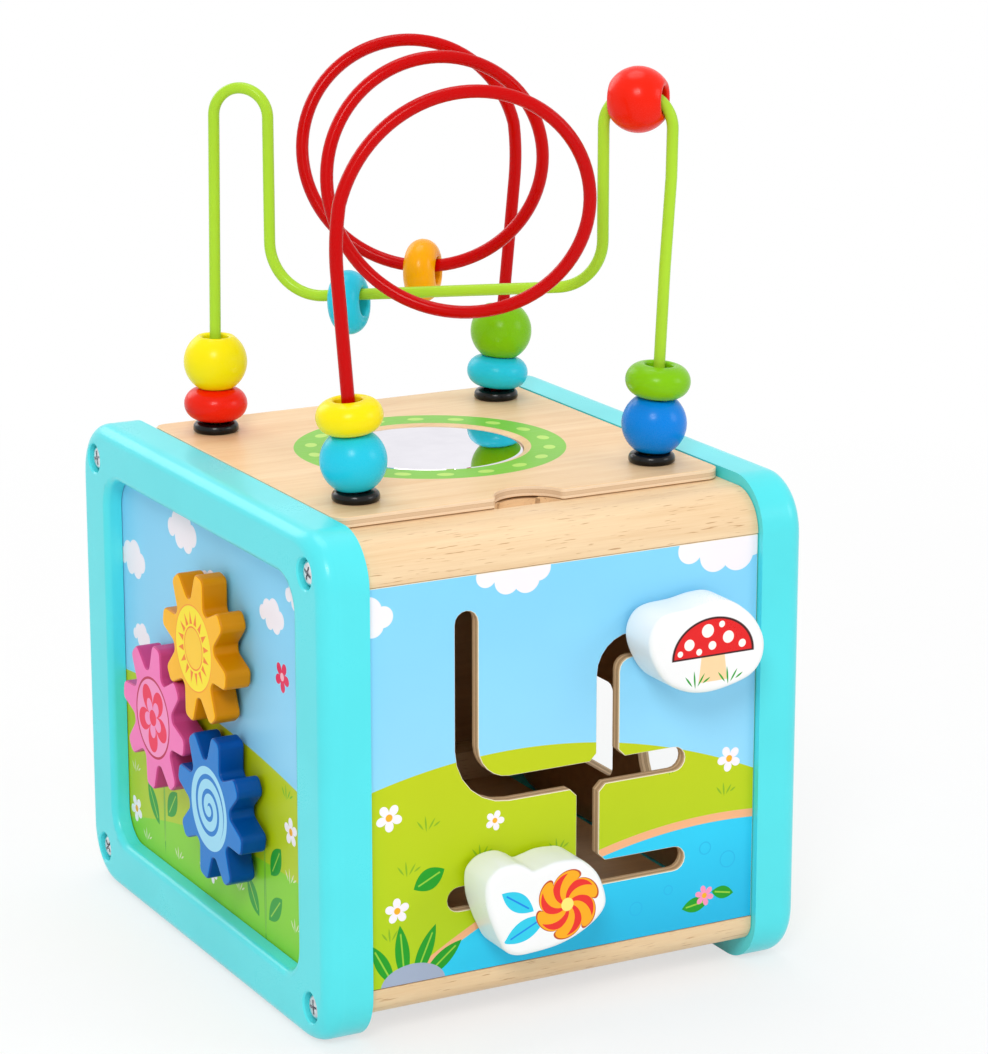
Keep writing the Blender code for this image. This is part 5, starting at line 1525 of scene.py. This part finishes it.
UPPER_OUTLINE = (
    (11.3, 17.5), (3.3, 18), (-5.7, 16.6), (-14.7, 16), (-19.7, 14), (-22.7, 9.5), (-23.2, 4),
    (-20.7, -3), (-15.7, -10), (-7.7, -14.5), (1.3, -16), (11.3, -14.8), (20.3, -11.8),
    (24.8, -6.5), (25.8, 0), (23.8, 6), (19.3, 12),
)
LOWER_OUTLINE = (
    (15, 14.5), (9.5, 15.6), (4, 15.7), (-1, 14.6), (-5, 14), (-8.5, 16.2), (-12.5, 17.8),
    (-18, 17.5), (-22, 15.4), (-24.6, 11.5), (-24.5, 4), (-22.5, -3), (-19.5, -10), (-16.5, -15.2),
    (-12, -17.5), (-5, -17.6), (4, -16.7), (12, -14.4), (19, -10.7), (23.2, -7), (25, -3),
    (24, 2.5), (21, 9),
)


class CUBE_OT_blocks(bpy.types.Operator):
    """Model the two white sliding blocks with their printed motifs, and finish their stems"""

    bl_idname = "cube.blocks"
    bl_label = "Sliding Blocks"

    def execute(self, context):
        sizes = context.scene.cube_sizes
        colours = context.scene.cube_colours
        stem = bare_wood(
            "stem wood", colours.beech, colours.beech_dark, colours.beech_fleck, 0.4, (0, 0, math.pi / 2)
        )
        for node, body, outline, draw in (
            ("upper_block", "upper_slider", UPPER_OUTLINE, self.toadstool),
            ("lower_block", "lower_slider", LOWER_OUTLINE, self.blossom),
        ):
            low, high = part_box(node)
            keeper = node_middle(node + "_keeper")
            points = flowing([(x * 0.001, z * 0.001) for x, z in outline], 5)
            place = Matrix.Translation((keeper.x, (low.y + high.y) / 2, keeper.z)) @ FRONT_SIDE
            piece = plate([points], high.y - low.y, place, sizes.block_edge, 4)
            even_shading(piece, 50)
            face = Vector((keeper.x, low.y, keeper.z))
            coat = lacquered(
                "white lacquer " + node, colours.block, roughness=0.3, drift=0.03, grain=0.2, bump=0.00001,
                coat=0.2, over=motif(draw, colours, face, RIGHTWARD, Y_AXIS),
            )
            settle(piece, node + "_shaped", body, coat, "white_paint", node)
            dress(node + "_keeper", stem)
        return {"FINISHED"}

    def toadstool(self, sheet, colours):
        """A red toadstool with pale spots on a tuft of grass."""
        stalk, brim, red, pale = srgb(250, 214, 164), srgb(60, 4, 6), srgb(228, 10, 14), srgb(255, 248, 240)
        drop = sheet.y * -1.0
        stalk_mask = inside(abs(sheet.x - 3.0), drop * 0.12 + 4.8) * inside(sheet.y, 1.0) * inside(drop, 11.5)
        sheet.lay(stalk_mask, stalk)
        cap = length_of(mapped(sheet.place - (3.0, -1.4, 0), size=(0.060, 0.073, 1)))
        sheet.lay(inside(cap, 1.06, 0.02) * inside(drop, 2.0), brim)
        cap_mask = inside(cap, 1.0, 0.02) * inside(drop, 1.3)
        sheet.lay(cap_mask, red)
        for x, y, radius in (
            (-7.2, 3.6, 2.2), (0.6, 8.0, 2.6), (9.4, 4.6, 2.4), (2.6, 2.2, 1.7), (15.4, 1.4, 1.6),
            (-3.0, 0.4, 1.3), (-11.0, 0.6, 1.2), (6.6, 9.8, 1.3),
        ):
            sheet.lay(inside(distance(sheet.place, (x, y, 0)), radius) * cap_mask, pale)
        sheet.tufts(colours.leaf, (-4.5, -11.5, 5.0), (9.5, -11.5, 5.0))

    def blossom(self, sheet, colours):
        """An orange pinwheel flower with two blue leaves."""
        brown, red, heart = srgb(190, 70, 10), srgb(236, 40, 30), srgb(255, 232, 120)
        sheet.leaves(
            (-9.5, -7.5, 9.5, 4.0, 24), (-12.5, 3.5, 8.0, 3.6, -34),
            green=colours.bead_sky, vein=colours.bead_blue,
        )
        off = sheet.place - (8.0, -0.8, 0)
        far = length_of(off)
        x, y, _ = parts_of(off)
        share = fraction(angle_of(x, y) / (math.tau / 6) + far * 0.09)
        edge = abs(maths("SINE", share * math.pi)) ** 0.5 * 3.4 + 9.6
        sheet.lay(inside(far, edge + 0.5), brown)
        sheet.lay(inside(far, edge), colours.bead_orange)
        sheet.lay(inside(far, edge - 1.0) * (share > 0.55), red)
        sheet.lay(inside(far, 2.6), heart)


class CUBE_OT_gears(bpy.types.Operator):
    """Model the three meshed gears with their printed discs, and finish their pivots"""

    bl_idname = "cube.gears"
    bl_label = "Gears"

    def execute(self, context):
        sizes = context.scene.cube_sizes
        colours = context.scene.cube_colours
        thick, boss_radius, overlap = 0.0105, 0.0080, 0.001
        for name, phase, draw in (("sun", -11.0, self.rays), ("pink", -8.0, self.flower),
                                  ("blue", -13.0, self.spiral)):
            node = name + "_gear"
            low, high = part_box(node)
            at = node_middle(name + "_pivot")
            place = Matrix.Translation((low.x + thick / 2, at.y, at.z)) @ X_SIDE
            piece = plate([self.outline(phase)], thick, place, sizes.gear_edge, 3)
            axle = Matrix.Translation((0, at.y, at.z)) @ LIE_ON_X
            boss = drum(boss_radius, low.x + thick - overlap, high.x, 40, axle)
            even_shading(piece, 40)
            piece = join([piece, boss])
            face = Vector((low.x, at.y, at.z))
            # The gears' sides get painted shade, darker and deeper than their printed faces.
            coat = lacquered(
                name + " gear lacquer", getattr(colours, node), roughness=0.34, drift=0.07, grain=0.9,
                bump=0.00002, coat=0.06, gloss=0.12, over=motif(draw, colours, face, FORWARD, X_AXIS, True),
            )
            settle(piece, node + "_shaped", name + "_wheel", coat, name + "_paint", node)
            dress(name + "_pivot", screw_metal())
        return {"FINISHED"}

    def outline(self, phase):
        """Eight tapered teeth with eased tips and rounded roots, in Y and Z."""
        root, tip = 0.0192, 0.0299
        corners, radii = [], []
        for tooth in range(8):
            angle = math.radians(phase + 45 * tooth)
            sin, cos = math.sin(angle), math.cos(angle)
            for radius, half, ease in ((root, -0.0059, 0.0024), (tip, -0.0037, 0.0029), (tip, 0.0037, 0.0029),
                                       (root, 0.0059, 0.0024)):
                up = math.sqrt(radius ** 2 - half ** 2)
                corners.append((up * sin + half * cos, up * cos - half * sin))
                radii.append(ease)
        return eased(corners, radii, 5, True)

    def rays(self, sheet, colours):
        """A yellow disc with a plain sunburst."""
        rim, ray, heart = srgb(250, 150, 20), srgb(246, 128, 22), srgb(255, 206, 40)
        far = length_of(sheet.place)
        sheet.lay(inside(far, 16.9), rim)
        sheet.lay(inside(far, 16.4), colours.sun_disc)
        sheet.lay(inside(beside_spoke(sheet.x, sheet.y, 16, 0.0), (14.6 - far) * 0.26) * (far > 9.4), ray)
        sheet.lay(inside(far, 8.2), heart)
        sheet.rings(ray, (0, 0, 8.2, 0.35))

    def flower(self, sheet, colours):
        """A ring with a five-petalled flower in it."""
        pale, rim = blended(0.12, sheet.tone, WHITE), srgb(190, 16, 74)
        sheet.disc(0, 0, 15.6, pale)
        sheet.rings(rim, (0, 0, 15.8, 0.55))
        sheet.daisies((0, 0, 14.0, 0.35), petal=colours.pink_print, heart=colours.pink_print)
        sheet.daisies((0, 0, 8.2, 0.35), petal=pale, heart=pale)
        sheet.disc(0, 0, 3.3, colours.pink_print)

    def spiral(self, sheet, colours):
        """A pale disc with a wound line."""
        winding, paint_colour = 5.6, sheet.tone
        far = length_of(sheet.place)
        sheet.lay(inside(far, 16.4), colours.blue_print)
        share = fraction(far / winding + angle_of(sheet.x, sheet.y) / math.tau)
        line = abs(share - 0.5) * winding
        sheet.lay(inside(line, 1.0) * inside(far, 13.8) * (far > 1.2), paint_colour)


class CUBE_OT_clock(bpy.types.Operator):
    """Shape the two clock hands, turn their pin, and set the dial's numbers"""

    bl_idname = "cube.clock"
    bl_label = "Clock"

    def execute(self, context):
        colours = context.scene.cube_colours
        for node, body, key in (("hour_hand", "hour", "bead_red"), ("minute_hand", "minute", "bead_blue")):
            piece = copy_of_node(node)
            bevel_corners(piece, 0.0006, 3)
            even_shading(piece, 40)
            coat = lacquered(
                node + " lacquer", getattr(colours, key), roughness=0.28, drift=0.06, grain=0.6,
                bump=0.000015, coat=0.3,
            )
            settle(piece, node + "_shaped", body, coat, key, node)
        at = node_middle("clock_pin")
        piece = turned(self.pin(), 40, Matrix.Translation((at.x, 0, at.z)) @ LIE_ON_Y)
        even_shading(piece, 35)
        coat = lacquered(
            "pin lacquer", colours.bead_yellow, roughness=0.22, drift=0.05, grain=0.1, bump=0.000008, coat=0.4
        )
        settle(piece, "clock_pin_turned", "box", coat, "bead_yellow", "clock_pin")
        self.numbers(colours, at)
        return {"FINISHED"}

    def pin(self):
        """The pin's rounded head, its thin shank through hands and board, and its foot."""
        low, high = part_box("clock_pin")
        head, shank, roll = 0.0055, 0.0025, 0.0014
        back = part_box("minute_hand")[1].y + PLAY
        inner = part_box("clock_board")[0].y - PLAY
        profile = [(0, high.y)] + arc((head - roll, high.y - roll), roll, 88, 0, 6)
        profile += [(head, back), (shank, back), (shank, inner), (head, inner)]
        return profile + [(head, low.y + 0.0004), (head - 0.0004, low.y), (0, low.y)]

    def numbers(self, colours, at):
        """Twelve thin numbers on the dial, read from behind the cube."""
        circle, size, proud = 0.0450, 0.0125, 0.00008
        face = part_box("clock_board")[1].y + proud
        for index, key in enumerate(("bead_red", "bead_blue", "bead_green", "bead_orange")):
            placed = []
            for hour in range(index + 1, 13, 4):
                deselect()
                bpy.ops.object.text_add(location=(0, 0, 0))
                text = bpy.context.object
                text.data.body = str(hour)
                text.data.size = size
                text.data.align_x = "CENTER"
                text.data.align_y = "CENTER"
                text.data.extrude = 0.00006
                text.data.offset = 0.0002
                piece = made_mesh(text)
                angle = math.radians(90 - 30 * hour)
                spot = (at.x - circle * math.cos(angle), face, at.z + circle * math.sin(angle))
                piece.data.transform(Matrix.Translation(spot) @ HALF_TURN @ FRONT_SIDE)
                placed.append(piece)
            piece = join(placed)
            clean(piece)
            coat = lacquered(
                "dial ink " + key[5:], getattr(colours, key), roughness=0.34, drift=0.03, grain=0.3,
                bump=0.000008, coat=0.1,
            )
            settle(piece, "dial_numbers_" + key[5:], "box", coat, "printed_ply")


class CUBE_OT_stage(bpy.types.Operator):
    """Lay the pale floor, hang soft studio lamps and set the camera at the photograph's angle"""

    bl_idname = "cube.stage"
    bl_label = "Studio Stage"

    def execute(self, context):
        scene = context.scene
        self.floor()
        self.world(scene)
        self.lamps()
        self.camera(scene)
        scene.view_settings.view_transform = "Standard"
        return {"FINISHED"}

    def lamps(self):
        target = Vector((0, 0, 0.15))
        for name, spot, size, power, tint in (
            ("key lamp", (-1.15, -1.75, 1.75), 0.9, 27.0, (1.0, 0.99, 0.97)),
            ("fill lamp", (1.7, -1.5, 1.0), 1.0, 8.0, (0.97, 0.985, 1.0)),
            ("top lamp", (0.1, 0.5, 2.3), 1.4, 14.0, (1.0, 1.0, 1.0)),
            ("back lamp", (-0.6, 2.1, 1.3), 1.4, 9.0, (1.0, 1.0, 1.0)),
        ):
            deselect()
            turn = (target - Vector(spot)).to_track_quat("-Z", "Y").to_euler()
            bpy.ops.object.light_add(type="AREA", location=spot, rotation=turn)
            lamp = bpy.context.object
            lamp.name = name
            lamp.data.shape = "DISK"
            lamp.data.size = size
            lamp.data.energy = power
            lamp.data.color = tint

    def camera(self, scene):
        target = Vector((0.02798, 0.0, 0.15598)) + MIDDLE
        azimuth, elevation, reach = math.radians(-28.2022), math.radians(14.779), 1.41666
        level = math.cos(elevation)
        back = Vector((math.sin(azimuth) * level, -math.cos(azimuth) * level, math.sin(elevation)))
        deselect()
        turn = (-back).to_track_quat("-Z", "Y").to_euler()
        bpy.ops.object.camera_add(location=target + back * reach, rotation=turn)
        scene.camera = bpy.context.object
        scene.camera.name = "photograph camera"
        lens = scene.camera.data
        lens.sensor_width = 36.0
        lens.lens = 123.58
        lens.clip_start = 0.01
        lens.clip_end = 50.0

    def seen(self, tree):
        """1 for what the camera sees itself, in a gloss or through something clear."""
        path = tree.nodes.new("ShaderNodeLightPath").outputs
        kinds = ("Is Camera Ray", "Is Glossy Ray", "Is Transmission Ray")
        return any_of(*(Value(path[kind]) for kind in kinds))

    def floor(self):
        deselect()
        bpy.ops.mesh.primitive_plane_add(size=14, location=(0, 0, -0.0002))
        piece = put_in_mesh(bpy.context.object)
        piece.name = "studio_floor"
        material, shader, point, _ = new_finish("studio floor")
        tree = shader.id_data
        finish_with(shader, mixed(noise(point, 40.0), (0.86, 0.86, 0.86), (0.88, 0.88, 0.88)), 0.9)
        glow = add_node(tree, "Emission", {"Strength": 1.0})
        clear = ranged(length_of(point), 0.25, 0.9, 0.66, 1.0)
        blend = add_node(tree, "MixShader", {0: self.seen(tree) * clear, 1: Value(shader.outputs[0]), 2: glow})
        feed(tree.nodes["Material Output"].inputs["Surface"], blend)
        piece.data.materials.append(material)

    def world(self, scene):
        scene.world = bpy.data.worlds.new("studio")
        scene.world.use_nodes = True
        tree = scene.world.node_tree
        tree.nodes.clear()
        room = add_node(tree, "Background", {"Color": WHITE, "Strength": 0.58})
        white = add_node(tree, "Background", {"Color": WHITE, "Strength": 1.0})
        blend = add_node(tree, "MixShader", {0: self.seen(tree), 1: room, 2: white})
        feed(tree.nodes.new("ShaderNodeOutputWorld").inputs["Surface"], blend)


OPERATORS = (
    CUBE_OT_side_frames, CUBE_OT_frame_screws, CUBE_OT_rails, CUBE_OT_panels, CUBE_OT_lid, CUBE_OT_posts,
    CUBE_OT_wires, CUBE_OT_beads, CUBE_OT_blocks, CUBE_OT_gears, CUBE_OT_clock, CUBE_OT_stage,
)


class CUBE_PT_pieces(bpy.types.Panel):
    """The cube's pieces and stage in the sidebar"""

    bl_idname = "CUBE_PT_pieces"
    bl_label = "Activity Cube"
    bl_space_type = "VIEW_3D"
    bl_region_type = "UI"
    bl_category = "Activity Cube"

    def draw(self, context):
        column = self.layout.column(align=True)
        for operator in OPERATORS:
            column.operator(operator.bl_idname)
        for group in (context.scene.cube_sizes, context.scene.cube_colours):
            box = self.layout.box()
            for key in group.bl_rna.properties.keys():
                if key not in ("rna_type", "name"):
                    box.prop(group, key)


CLASSES = (CubeColours, CubeSizes, *OPERATORS, CUBE_PT_pieces)


def register():
    for entry in CLASSES:
        bpy.utils.register_class(entry)
    bpy.types.Scene.cube_colours = PointerProperty(type=CubeColours)
    bpy.types.Scene.cube_sizes = PointerProperty(type=CubeSizes)


def unregister():
    del bpy.types.Scene.cube_sizes
    del bpy.types.Scene.cube_colours
    for entry in reversed(CLASSES):
        bpy.utils.unregister_class(entry)


def main():
    register()
    bpy.ops.cube.side_frames()
    bpy.ops.cube.frame_screws()
    bpy.ops.cube.rails()
    bpy.ops.cube.panels()
    bpy.ops.cube.lid()
    bpy.ops.cube.posts()
    bpy.ops.cube.wires()
    bpy.ops.cube.beads()
    bpy.ops.cube.blocks()
    bpy.ops.cube.gears()
    bpy.ops.cube.clock()
    bpy.ops.cube.stage()


if __name__ == "__main__":
    main()
